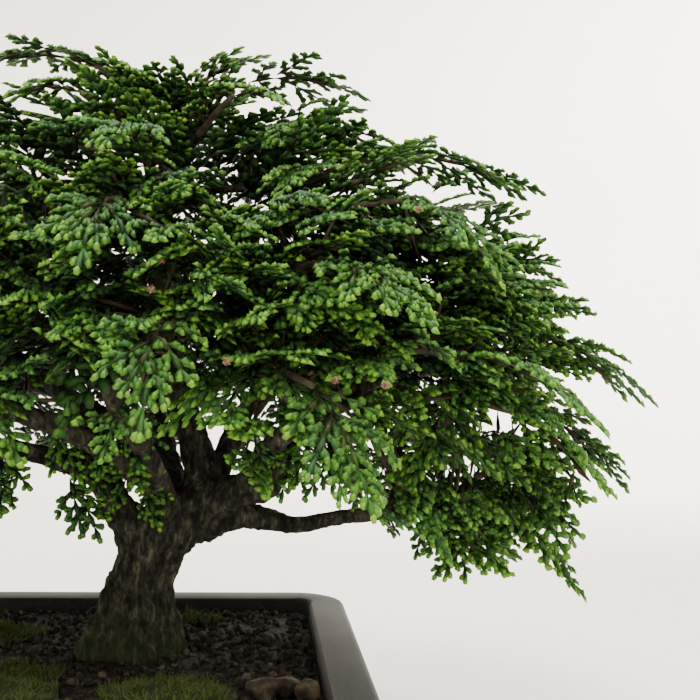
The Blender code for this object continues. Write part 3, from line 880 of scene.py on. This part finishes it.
def make_wood(collection, bark):
    """The trunk, limbs and branches, joined over one fine grid and roughened."""
    parts = [trunk_mesh()]
    spine = []
    for path in limb_paths(4).values():
        parts.append(make_tube("limb", path, 14).data)
        spine += path
    rough = limb_paths(1)
    for _, root, tip, _ in pads():
        path = smooth_path(branch_path(root, tip, rough), 3)
        parts.append(make_tube("branch", path, 10).data)
        spine += path
    whole = bmesh.new()
    for part in parts:
        whole.from_mesh(part)
    mesh = bpy.data.meshes.new("wood")
    whole.to_mesh(mesh)
    whole.free()
    wood = placed_object("bark", mesh, collection)
    remesh = wood.modifiers.new("join", "REMESH")
    remesh.mode = "VOXEL"
    remesh.voxel_size = WOOD_VOXEL
    remesh.use_smooth_shade = True
    even = wood.modifiers.new("even", "SMOOTH")
    even.iterations = 3
    apply_modifiers(wood)
    roughen_bark(wood, spine)
    wood.data.materials.append(bark)
    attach(wood, "root")
    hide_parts("trunk_and_branches")


def roughen_bark(wood, spine):
    """Long broken plates along the trunk and limbs, fainter where they are thin."""
    tree = nearest_of([at.xyz for at in spine])
    mesh = wood.data
    points = coordinates(mesh)
    normals = np.empty(points.size, dtype=np.float32)
    mesh.vertex_normals.foreach_get("vector", normals)
    normals = normals.reshape(-1, 3)
    for i, point in enumerate(points):
        at = Vector(point)
        low = at.z < FOOT.z + 50 * MM and (at.xy - FOOT.xy).length < 30 * MM
        radius = 12 * MM if low else spine[tree.find(at)[1]][3]
        depth = min(1.1 * MM, radius * 0.13)
        stretched = Vector((at.x, at.y, at.z * 0.35)) * 420
        plates = abs(noise.noise(stretched)) * 2 - 0.55
        fine = noise.noise(at * 1300) * 0.3
        lumps = noise.noise(at * 110) * 0.8
        points[i] += normals[i] * depth * (plates + fine + lumps)
    mesh.vertices.foreach_set("co", points.ravel())
    mesh.update()


def wood_points():
    """A tree to look up the nearest point of the limbs, branches and twigs."""
    spine = []
    for path in limb_paths(6).values():
        spine += [at.xyz for at in path]
    rough = limb_paths(1)
    for _, root, tip, _ in pads():
        spine += [at.xyz for at in smooth_path(branch_path(root, tip, rough), 4)]
        spine += [at.xyz for at in smooth_path(twig_path(root, tip), 4)]
    return nearest_of(spine)


def apply_modifiers(obj):
    bpy.context.view_layer.update()
    graph = bpy.context.evaluated_depsgraph_get()
    mesh = bpy.data.meshes.new_from_object(obj.evaluated_get(graph))
    obj.modifiers.clear()
    obj.data = mesh


# The pot and the ground

def rounded_rectangle(length, depth, radius, z, steps):
    points = []
    for corner in range(4):
        sx, sy = ((1, 1), (-1, 1), (-1, -1), (1, -1))[corner]
        for step in range(steps + 1):
            angle = math.pi / 2 * (corner + step / steps)
            points.append(POT_CENTRE + Vector((
                sx * (length / 2 - radius) + radius * math.cos(angle),
                sy * (depth / 2 - radius) + radius * math.sin(angle),
                z,
            )))
    return points


def pot_ring(inset, z, steps=14):
    radius = max(CORNER_RADIUS - inset, INNER_CORNER)
    return rounded_rectangle(
        POT_LENGTH - 2 * inset, POT_DEPTH - 2 * inset, radius, z, steps
    )


def inner_wall_inset(z):
    return RIM_WIDTH + WALL_SLOPE * (POT_HEIGHT - z) / POT_HEIGHT


def lofted(name, rings, collection):
    """A closed object through these rings of points."""
    count = len(rings[0])
    points = [p for ring in rings for p in ring]
    faces = side_faces(len(rings), count)
    faces.append(tuple(range(count)))
    faces.append(tuple(range((len(rings) - 1) * count, len(rings) * count)))
    mesh = bpy.data.meshes.new(name)
    shell = bmesh.new()
    corners = [shell.verts.new(p) for p in points]
    for face in faces:
        shell.faces.new([corners[i] for i in face])
    bmesh.ops.recalc_face_normals(shell, faces=shell.faces)
    shell.to_mesh(mesh)
    shell.free()
    return placed_object(name, mesh, collection)


def make_pot(collection, clay):
    top = POT_HEIGHT
    wall = LIP_OVERHANG
    floor_top = FOOT_HEIGHT + FLOOR_THICKNESS
    profile = [
        (wall + WALL_SLOPE + 3 * MM, FOOT_HEIGHT),
        (wall + WALL_SLOPE + 0.8 * MM, FOOT_HEIGHT + 0.8 * MM),
        (wall + WALL_SLOPE, FOOT_HEIGHT + 3 * MM),
        (wall + 1 * MM, top - LIP_HEIGHT - 2 * MM),
        (wall - 0.2 * MM, top - LIP_HEIGHT - 0.2 * MM),
        (1.6 * MM, top - LIP_HEIGHT + 0.5 * MM),
        (0.5 * MM, top - LIP_HEIGHT + 1.3 * MM),
        (0, top - LIP_HEIGHT + 2.5 * MM),
        (0, top - 2 * MM),
        (0.25 * MM, top - 1.1 * MM),
        (0.9 * MM, top - 0.4 * MM),
        (2.2 * MM, top),
        (RIM_WIDTH - 1.8 * MM, top),
        (RIM_WIDTH - 0.6 * MM, top - 0.35 * MM),
        (inner_wall_inset(top - 1.5 * MM), top - 1.5 * MM),
        (inner_wall_inset(top - 4 * MM), top - 4 * MM),
        (inner_wall_inset(floor_top), floor_top),
    ]
    pot = lofted("pot_body", [pot_ring(inset, z) for inset, z in profile], collection)
    feet = bpy.data.collections.new("feet")
    bpy.context.scene.collection.children.link(feet)
    for side_x in (-1, 1):
        for side_y in (-1, 1):
            make_foot(side_x, side_y, feet)
    join = pot.modifiers.new("feet", "BOOLEAN")
    join.operation = "UNION"
    join.operand_type = "COLLECTION"
    join.collection = feet
    join.solver = "EXACT"
    holes = []
    for side in (-1, 1):
        bpy.ops.mesh.primitive_cylinder_add(
            vertices=48, radius=HOLE_DIAMETER / 2, depth=4 * FLOOR_THICKNESS,
            location=POT_CENTRE + Vector((side * HOLE_SPACING / 2, 0, FOOT_HEIGHT)),
        )
        hole = bpy.context.object
        holes.append(hole)
        cut = pot.modifiers.new("hole", "BOOLEAN")
        cut.operation = "DIFFERENCE"
        cut.object = hole
        cut.solver = "EXACT"
    apply_modifiers(pot)
    for helper in holes + list(feet.objects):
        bpy.data.objects.remove(helper)
    bpy.data.collections.remove(feet)
    pot.data.shade_smooth()
    pot.data.set_sharp_from_angle(angle=math.radians(38))
    pot.data.materials.append(clay)
    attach(pot, "root")
    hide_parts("pot")


def make_foot(side_x, side_y, collection):
    length, depth = FOOT_SIZE
    x = side_x * (POT_LENGTH / 2 - FOOT_INSET - length / 2)
    y = side_y * (POT_DEPTH / 2 - FOOT_INSET - depth / 2)
    rings = []
    for z, inset in ((0, 1.8), (0.25, 1.3), (0.8, 1), (FOOT_HEIGHT / MM + 3, 0)):
        inset *= MM
        ring = rounded_rectangle(length - 2 * inset, depth - 2 * inset, 4 * MM, z * MM, 6)
        rings.append([p + Vector((x, y, 0)) for p in ring])
    return lofted("foot", rings, collection)


def ground_z(x, y):
    """The soil's height, with its mound round the trunk."""
    away = math.hypot(x - FOOT.x, y - FOOT.y)
    mound = SOIL_MOUND * math.exp(-((away / MOUND_REACH) ** 2))
    return POT_HEIGHT - SOIL_BELOW_RIM + mound


def patch_sizes(patch):
    """A moss patch's centre, half sizes and height in metres."""
    cx, cy, half_x, half_y, height = (v * MM for v in patch)
    return POT_CENTRE.x + cx, POT_CENTRE.y + cy, half_x, half_y, height


def inside_patch(x, y, patch, grow):
    """Whether a point lies inside a moss patch grown by this factor."""
    cx, cy, half_x, half_y, _ = patch_sizes(patch)
    return math.hypot((x - cx) / half_x, (y - cy) / half_y) < grow


def in_pot(x, y, margin):
    """Whether a point lies inside the pot's rim, this far from it or more."""
    half_x = POT_LENGTH / 2 - RIM_WIDTH - margin
    half_y = POT_DEPTH / 2 - RIM_WIDTH - margin
    dx = max(abs(x - POT_CENTRE.x) - (half_x - INNER_CORNER), 0)
    dy = max(abs(y - POT_CENTRE.y) - (half_y - INNER_CORNER), 0)
    return math.hypot(dx, dy) < INNER_CORNER


def stone_shapes(subdivisions, count, draw, roughness):
    """Uneven balls of radius 1 for grains and pebbles: points and faces of each."""
    shapes = []
    for _ in range(count):
        ball = bmesh.new()
        bmesh.ops.create_icosphere(ball, subdivisions=subdivisions, radius=1)
        offset = Vector([draw.uniform(0, 50) for _ in range(3)])
        points = np.array([
            list(v.co * (1 + roughness * noise.noise(v.co * 1.3 + offset)))
            for v in ball.verts
        ])
        faces = [tuple(v.index for v in f.verts) for f in ball.faces]
        ball.free()
        shapes.append((points, faces))
    return shapes


def scatter_stones(name, spots, shapes, collection, stuff, draw):
    """Loose grains at these spots: x, y, z, radius and tone."""
    blocks = []
    for x, y, z, radius, tone in spots:
        points, _ = shapes[draw.randrange(len(shapes))]
        turn = Quaternion(
            Vector([draw.uniform(-1, 1) for _ in range(3)]).normalized(),
            draw.uniform(0, 6.28),
        ).to_matrix()
        squash = np.array((draw.uniform(0.8, 1.25), draw.uniform(0.8, 1.1), 0.75))
        placed = (points * squash) @ np.array(turn).T * radius + (x, y, z)
        colour = np.tile((tone, draw.random(), 0, 1), (len(points), 1))
        blocks.append((placed, colour, np.zeros(len(points))))
    piece = mesh_of(name, blocks, collection, shapes[0][1], len(shapes[0][0]))
    piece.data.materials.append(stuff)
    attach(piece, "root")
    return piece


def make_ground(collection, grit, stone):
    """Grains over the soil, clear of the moss and the trunk, and the pebbles."""
    draw = random.Random(5)
    spots = []
    while len(spots) < GRAINS:
        x = POT_CENTRE.x + draw.uniform(-0.5, 0.5) * POT_LENGTH
        y = POT_CENTRE.y + draw.uniform(-0.5, 0.5) * POT_DEPTH
        if not in_pot(x, y, 2.4 * MM):
            continue
        if any(inside_patch(x, y, patch, 0.9) for patch in MOSS.values()):
            continue
        if math.hypot(x - FOOT.x, y - FOOT.y) < TRUNK_CLEARANCE:
            continue
        radius = draw.choice(GRAIN_RADII) * MM
        z = ground_z(x, y) + draw.uniform(-0.2, 0.75) * radius
        spots.append((x, y, z, radius, draw.random() ** 2))
    shapes = stone_shapes(1, 8, draw, 0.9)
    grains = scatter_stones("soil_grains", spots, shapes, collection, grit, draw)
    spots = []
    for x, y, radius in PEBBLES:
        px, py = POT_CENTRE.x + x * MM, POT_CENTRE.y + y * MM
        spots.append((px, py, ground_z(px, py) + radius * 0.7 * MM, radius * 0.95 * MM,
                      draw.random()))
    shapes = stone_shapes(4, 3, draw, 0.24)
    pebbles = scatter_stones("river_pebbles", spots, shapes, collection, stone, draw)
    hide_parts("pebbles")


def make_moss(collection, moss):
    """Each cushion: a low base with thousands of short leafy shoots on it, and thinner
    growth around the cushions."""
    for name, patch in {**MOSS, **THIN_MOSS}.items():
        draw = random.Random(name)
        cx, cy, half_x, half_y, height = patch_sizes(patch)
        points, colours = [], []
        area = half_x * half_y / MM / MM
        for _ in range(int(area * (8 if name in MOSS else 6))):
            reach = math.sqrt(draw.random()) * 1.02
            angle = draw.uniform(0, 2 * math.pi)
            x = cx + half_x * reach * math.cos(angle)
            y = cy + half_y * reach * math.sin(angle)
            clump = noise.noise(Vector((x, y, 0)) * MOSS_CLUMPS)
            tuft = noise.noise(Vector((x, y, 1)) * MOSS_TUFTS)
            if reach > 0.86 + 0.3 * clump or not in_pot(x, y, 1.2 * MM):
                continue
            swell = height * (1 - 0.8 * min(reach, 1) ** 2)
            z = ground_z(x, y) + swell * (0.5 + 0.3 * clump) - 1.4 * MM
            lean = Vector((draw.uniform(-1, 1) + tuft * 1.6, draw.uniform(-1, 1), 0.9 + clump))
            lean.normalize()
            length = (draw.uniform(1.8, 4.6) + 3.0 * max(tuft, 0)) * MM
            base = Vector((x, y, z))
            side = lean.orthogonal().normalized()
            turn = Quaternion(lean, draw.uniform(0, 6.28))
            width = draw.uniform(0.28, 0.5) * MM
            tone = min(1, max(0, 0.45 + clump + draw.uniform(-0.35, 0.35)))
            for _ in range(3):
                arm = turn @ side
                turn = Quaternion(lean, 2 * math.pi / 3) @ turn
                points.append(base + arm * width)
                colours.append((0.0, tone, 0, 1))
            points.append(base + lean * length)
            colours.append((0.55 + 0.45 * draw.random(), tone, 0, 1))
        blocks = [(np.array(points), np.array(colours), np.zeros(len(points)))]
        pattern = ((0, 1, 3), (1, 2, 3), (2, 0, 3))
        shoots = mesh_of("shoots_" + name, blocks, collection, pattern, 4)
        shoots.data.materials.append(moss)
        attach(shoots, "root")
        if name in MOSS:
            base = moss_base(name, patch, collection)
            base.data.materials.append(moss)
            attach(base, "root")
            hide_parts(name)


def moss_base(name, patch, collection):
    """The low cushion that a patch's shoots stand on."""
    cx, cy, half_x, half_y, height = patch_sizes(patch)
    rings = []
    sides = 48
    for share in (0.93, 0.92, 0.88, 0.80, 0.70, 0.57, 0.42, 0.24, 0.08):
        ring = []
        for i in range(sides):
            angle = 2 * math.pi * i / sides
            x = cx + half_x * share * math.cos(angle)
            y = cy + half_y * share * math.sin(angle)
            swell = height * (1 - 0.8 * share * share) * 0.6
            clump = noise.noise(Vector((x, y, 0)) * MOSS_CLUMPS) * 1.2 * MM
            z = ground_z(x, y) + (-0.5 * MM if share == 0.93 else swell + clump)
            ring.append(Vector((x, y, z)))
        rings.append(ring)
    base = lofted("base_" + name, rings, collection)
    base.data.shade_smooth()
    return base


# The materials

def new_material(name, roughness, specular):
    made = bpy.data.materials.new(name)
    made.use_nodes = True
    shader = made.node_tree.nodes["Principled BSDF"]
    shader.inputs["Roughness"].default_value = roughness
    shader.inputs["Specular IOR Level"].default_value = specular
    return made, made.node_tree, shader


def add_node(tree, kind, inputs):
    """A shader node with its inputs linked to sockets or set to values."""
    node = tree.nodes.new("ShaderNode" + kind)
    for name, value in inputs.items():
        if hasattr(value, "links"):
            tree.links.new(value, node.inputs[name])
        else:
            node.inputs[name].default_value = value
    return node


def ramp(tree, source, stops):
    """A colour that goes through these stops as the source rises."""
    node = tree.nodes.new("ShaderNodeValToRGB")
    while len(node.color_ramp.elements) < len(stops):
        node.color_ramp.elements.new(0.5)
    for element, (place, colour) in zip(node.color_ramp.elements, stops):
        element.position = place
        element.color = (*colour, 1)
    tree.links.new(source, node.inputs["Fac"])
    return node.outputs["Color"]


def noise_of(tree, scale, detail, stretch=(1, 1, 1)):
    place = add_node(tree, "TexCoord", {}).outputs["Object"]
    shape = add_node(tree, "Mapping", {"Vector": place, "Scale": stretch})
    node = add_node(tree, "TexNoise", {
        "Vector": shape.outputs["Vector"], "Scale": scale, "Detail": detail,
    })
    return node.outputs["Fac"]


def mixed(tree, share, a, b, kind="MIX"):
    node = tree.nodes.new("ShaderNodeMix")
    node.data_type = "RGBA"
    node.blend_type = kind
    for socket, value in (("Factor", share), ("A", a), ("B", b)):
        target = [s for s in node.inputs if s.name == socket and s.enabled][0]
        if hasattr(value, "links"):
            tree.links.new(value, target)
        elif socket == "Factor":
            target.default_value = value
        else:
            target.default_value = (*value, 1)
    return [s for s in node.outputs if s.enabled][0]


def bumped(tree, shader, height, strength, distance):
    node = add_node(tree, "Bump", {
        "Height": height, "Strength": strength, "Distance": distance,
    })
    tree.links.new(node.outputs["Normal"], shader.inputs["Normal"])


def tint_parts(tree):
    """The three parts of the mesh's tint, whose third holds the leaves' painted shade."""
    node = add_node(tree, "Attribute", {})
    node.attribute_name = "tint"
    return add_node(tree, "SeparateColor", {"Color": node.outputs["Color"]}).outputs


def leaf_material():
    made, tree, shader = new_material("scale_leaves", 0.58, 0.16)
    tip, tone, shade_layer = tint_parts(tree)
    # Darker towards a plume's base and brighter at its tips: the yellow-green tips are the
    # fresh growth's own colour, the darkening towards the base is partly painted shade.
    fresh = ramp(tree, tip, (
        (0.0, (0.040, 0.027, 0.014)), (0.06, (0.034, 0.032, 0.010)),
        (0.30, (0.020, 0.066, 0.009)), (0.62, (0.056, 0.156, 0.014)),
        (1.0, (0.140, 0.290, 0.020)),
    ))
    deep = ramp(tree, tip, (
        (0.0, (0.040, 0.027, 0.014)), (0.06, (0.028, 0.030, 0.010)),
        (0.30, (0.011, 0.045, 0.012)), (0.62, (0.030, 0.102, 0.018)),
        (1.0, (0.078, 0.192, 0.026)),
    ))
    colour = mixed(tree, tone, fresh, deep)
    # Painted shade: plumes deep in the crown, under it and the stems are darkened by their
    # shade layer.
    shade = ramp(tree, shade_layer, ((0.0, (1, 1, 1)), (0.5, (0.80, 0.84, 0.80)),
                               (1.0, (0.28, 0.36, 0.30))))
    colour = mixed(tree, 1.0, colour, shade, "MULTIPLY")
    spots = ramp(tree, noise_of(tree, 260, 3), (
        (0.35, (0.70, 0.72, 0.70)), (0.7, (1.12, 1.1, 1.1)),
    ))
    colour = mixed(tree, 1.0, colour, spots, "MULTIPLY")
    tree.links.new(colour, shader.inputs["Base Color"])
    bumped(tree, shader, noise_of(tree, 900, 2), 0.25, 0.3 * MM)
    return made


def plain_material(name):
    """One of the materials that the table above gives."""
    roughness, specular, grain, stops, bump = PLAIN_MATERIALS[name]
    made, tree, shader = new_material(name, roughness, specular)
    source = noise_of(tree, *grain) if grain else tint_parts(tree)[0]
    tree.links.new(ramp(tree, source, stops), shader.inputs["Base Color"])
    if bump:
        bumped(tree, shader, noise_of(tree, *bump[:2]), *bump[2:])
    return made


def near_foot(tree):
    """How much green film the bark carries: most at the soil and none above its height."""
    place = add_node(tree, "TexCoord", {}).outputs["Object"]
    split = add_node(tree, "SeparateXYZ", {"Vector": place})
    height = add_node(tree, "MapRange", {
        "Value": split.outputs["Z"], "From Min": FOOT.z + FILM_HEIGHT, "From Max": FOOT.z,
    })
    patchy = add_node(tree, "Math", {
        0: height.outputs["Result"], 1: noise_of(tree, 160, 4),
    })
    patchy.operation = "MULTIPLY"
    return patchy.outputs["Value"]


def bark_material():
    made, tree, shader = new_material("bark", 0.92, 0.15)
    plates = noise_of(tree, 380, 8, (1, 1, 0.4))
    flakes = noise_of(tree, 900, 6, (1, 1, 0.5))
    colour = ramp(tree, plates, (
        (0.36, (0.006, 0.006, 0.004)), (0.48, (0.020, 0.019, 0.013)),
        (0.58, (0.038, 0.035, 0.024)), (0.72, (0.080, 0.072, 0.052)),
    ))
    chips = ramp(tree, flakes, ((0.42, (0.45, 0.45, 0.43)), (0.60, (1.15, 1.12, 1.05))))
    colour = mixed(tree, 1.0, colour, chips, "MULTIPLY")
    mossy = (0.022, 0.034, 0.010)
    colour = mixed(tree, near_foot(tree), colour, mossy)
    tree.links.new(colour, shader.inputs["Base Color"])
    bumped(tree, shader, plates, 1.0, 1.6 * MM)
    return made


def clay_material():
    made, tree, shader = new_material("dark_clay", 0.6, 0.12)
    speckle = noise_of(tree, 900, 5)
    broad = noise_of(tree, 35, 3)
    colour = ramp(tree, speckle, (
        (0.35, (0.0095, 0.0102, 0.0100)), (0.65, (0.0160, 0.0170, 0.0165)),
    ))
    cast = ramp(tree, broad, ((0.35, (0.86, 0.86, 0.86)), (0.7, (1.12, 1.12, 1.10))))
    colour = mixed(tree, 1.0, colour, cast, "MULTIPLY")
    tree.links.new(colour, shader.inputs["Base Color"])
    shine = add_node(tree, "MapRange", {"Value": broad, "To Min": 0.52, "To Max": 0.68})
    tree.links.new(shine.outputs["Result"], shader.inputs["Roughness"])
    bumped(tree, shader, speckle, 0.18, 0.3 * MM)
    return made


def moss_material():
    made, tree, shader = new_material("moss_shoots", 0.85, 0.2)
    tip, tone, _ = tint_parts(tree)
    fresh = ramp(tree, tip, (
        (0.0, (0.012, 0.022, 0.004)), (0.5, (0.050, 0.078, 0.010)),
        (1.0, (0.150, 0.180, 0.028)),
    ))
    old = ramp(tree, tip, (
        (0.0, (0.010, 0.014, 0.004)), (0.5, (0.040, 0.050, 0.011)),
        (1.0, (0.110, 0.112, 0.030)),
    ))
    colour = mixed(tree, tone, fresh, old)
    tree.links.new(colour, shader.inputs["Base Color"])
    return made


# The stage, the light and the camera

def make_stage(collection, wall):
    """A round pale floor that curves up into a wall on every side."""
    profile = [(0.0, 0.0), (0.8, 0.0), (STAGE_FLAT, 0.0)]
    for k in range(1, 13):
        angle = math.pi / 2 * k / 12
        profile.append((
            STAGE_FLAT + STAGE_CURVE * math.sin(angle), STAGE_CURVE * (1 - math.cos(angle)),
        ))
    profile.append((STAGE_FLAT + STAGE_CURVE, STAGE_TOP))
    sides = 72
    points = [Vector((0, 0, 0))]
    faces = []
    for radius, z in profile[1:]:
        for i in range(sides):
            angle = 2 * math.pi * i / sides
            points.append(Vector((radius * math.cos(angle), radius * math.sin(angle), z)))
    for i in range(sides):
        faces.append((0, 1 + i, 1 + (i + 1) % sides))
    for r in range(len(profile) - 2):
        for i in range(sides):
            j = (i + 1) % sides
            a = 1 + r * sides
            faces.append((a + i, a + sides + i, a + sides + j, a + j))
    mesh = bpy.data.meshes.new("stage")
    mesh.from_pydata(points, [], faces)
    mesh.shade_smooth()
    dish = placed_object("stage", mesh, collection)
    dish.data.materials.append(wall)


def area_light(name, at, target, size, power, colour):
    light = bpy.data.lights.new(name, "AREA")
    light.shape = "DISK"
    light.size = size
    light.energy = power
    light.color = colour
    made = bpy.data.objects.new(name, light)
    bpy.context.scene.collection.objects.link(made)
    made.location = at
    made.rotation_euler = (Vector(target) - Vector(at)).to_track_quat("-Z", "Y").to_euler()


def make_light():
    area_light("key", (-0.5, -0.9, 1.7), (0, 0, 0.12), 0.7, 54, (1, 0.985, 0.95))
    area_light("top", (0.15, 0.1, 1.9), (0, 0, 0.1), 1.0, 52, (1, 1, 0.99))
    area_light("wall", (0.9, 0.8, 1.3), (0.9, 2.1, 0.9), 0.9, 95, (1, 0.985, 0.96))
    world = bpy.data.worlds.new("studio")
    bpy.context.scene.world = world
    world.use_nodes = True
    back = world.node_tree.nodes["Background"]
    back.inputs["Color"].default_value = (0.97, 0.98, 1.0, 1)
    back.inputs["Strength"].default_value = 0.42


def make_camera():
    camera = bpy.data.cameras.new("camera")
    camera.sensor_width = SENSOR_WIDTH
    camera.lens = FOCAL_PIXELS / PHOTO_PIXELS * SENSOR_WIDTH
    camera.clip_start = 0.01
    made = bpy.data.objects.new("camera", camera)
    bpy.context.scene.collection.objects.link(made)
    yaw, pitch, roll = (math.radians(a) for a in CAMERA_TURN)
    ahead = Vector((
        math.sin(yaw) * math.cos(pitch), math.cos(yaw) * math.cos(pitch), math.sin(pitch),
    ))
    turn = ahead.to_track_quat("-Z", "Y").to_matrix().to_4x4()
    place = Matrix.Translation(CAMERA_AT)
    made.matrix_world = place @ turn @ Matrix.Rotation(roll, 4, "Z")
    bpy.context.scene.camera = made


def main():
    bonsai = bpy.data.collections.new("bonsai")
    bpy.context.scene.collection.children.link(bonsai)
    twig = plain_material("twig")
    make_foliage(bonsai, leaf_material(), twig)
    make_cones(bonsai, plain_material("dry_cone"))
    make_wood(bonsai, bark_material())
    make_pot(bonsai, clay_material())
    make_ground(bonsai, plain_material("grit"), plain_material("river_stone"))
    make_moss(bonsai, moss_material())
    dress("soil", plain_material("damp_soil"))
    dress("drainage_mesh_left", plain_material("black_plastic"))
    dress("drainage_mesh_right", plain_material("black_plastic"))
    make_stage(bonsai, plain_material("pale_wall"))
    make_light()
    make_camera()


def dress(node, stuff):
    """Gives a solid that is shown as it is its material."""
    mesh = frame["nodes"][node].data
    mesh.materials.clear()
    mesh.materials.append(stuff)


main()
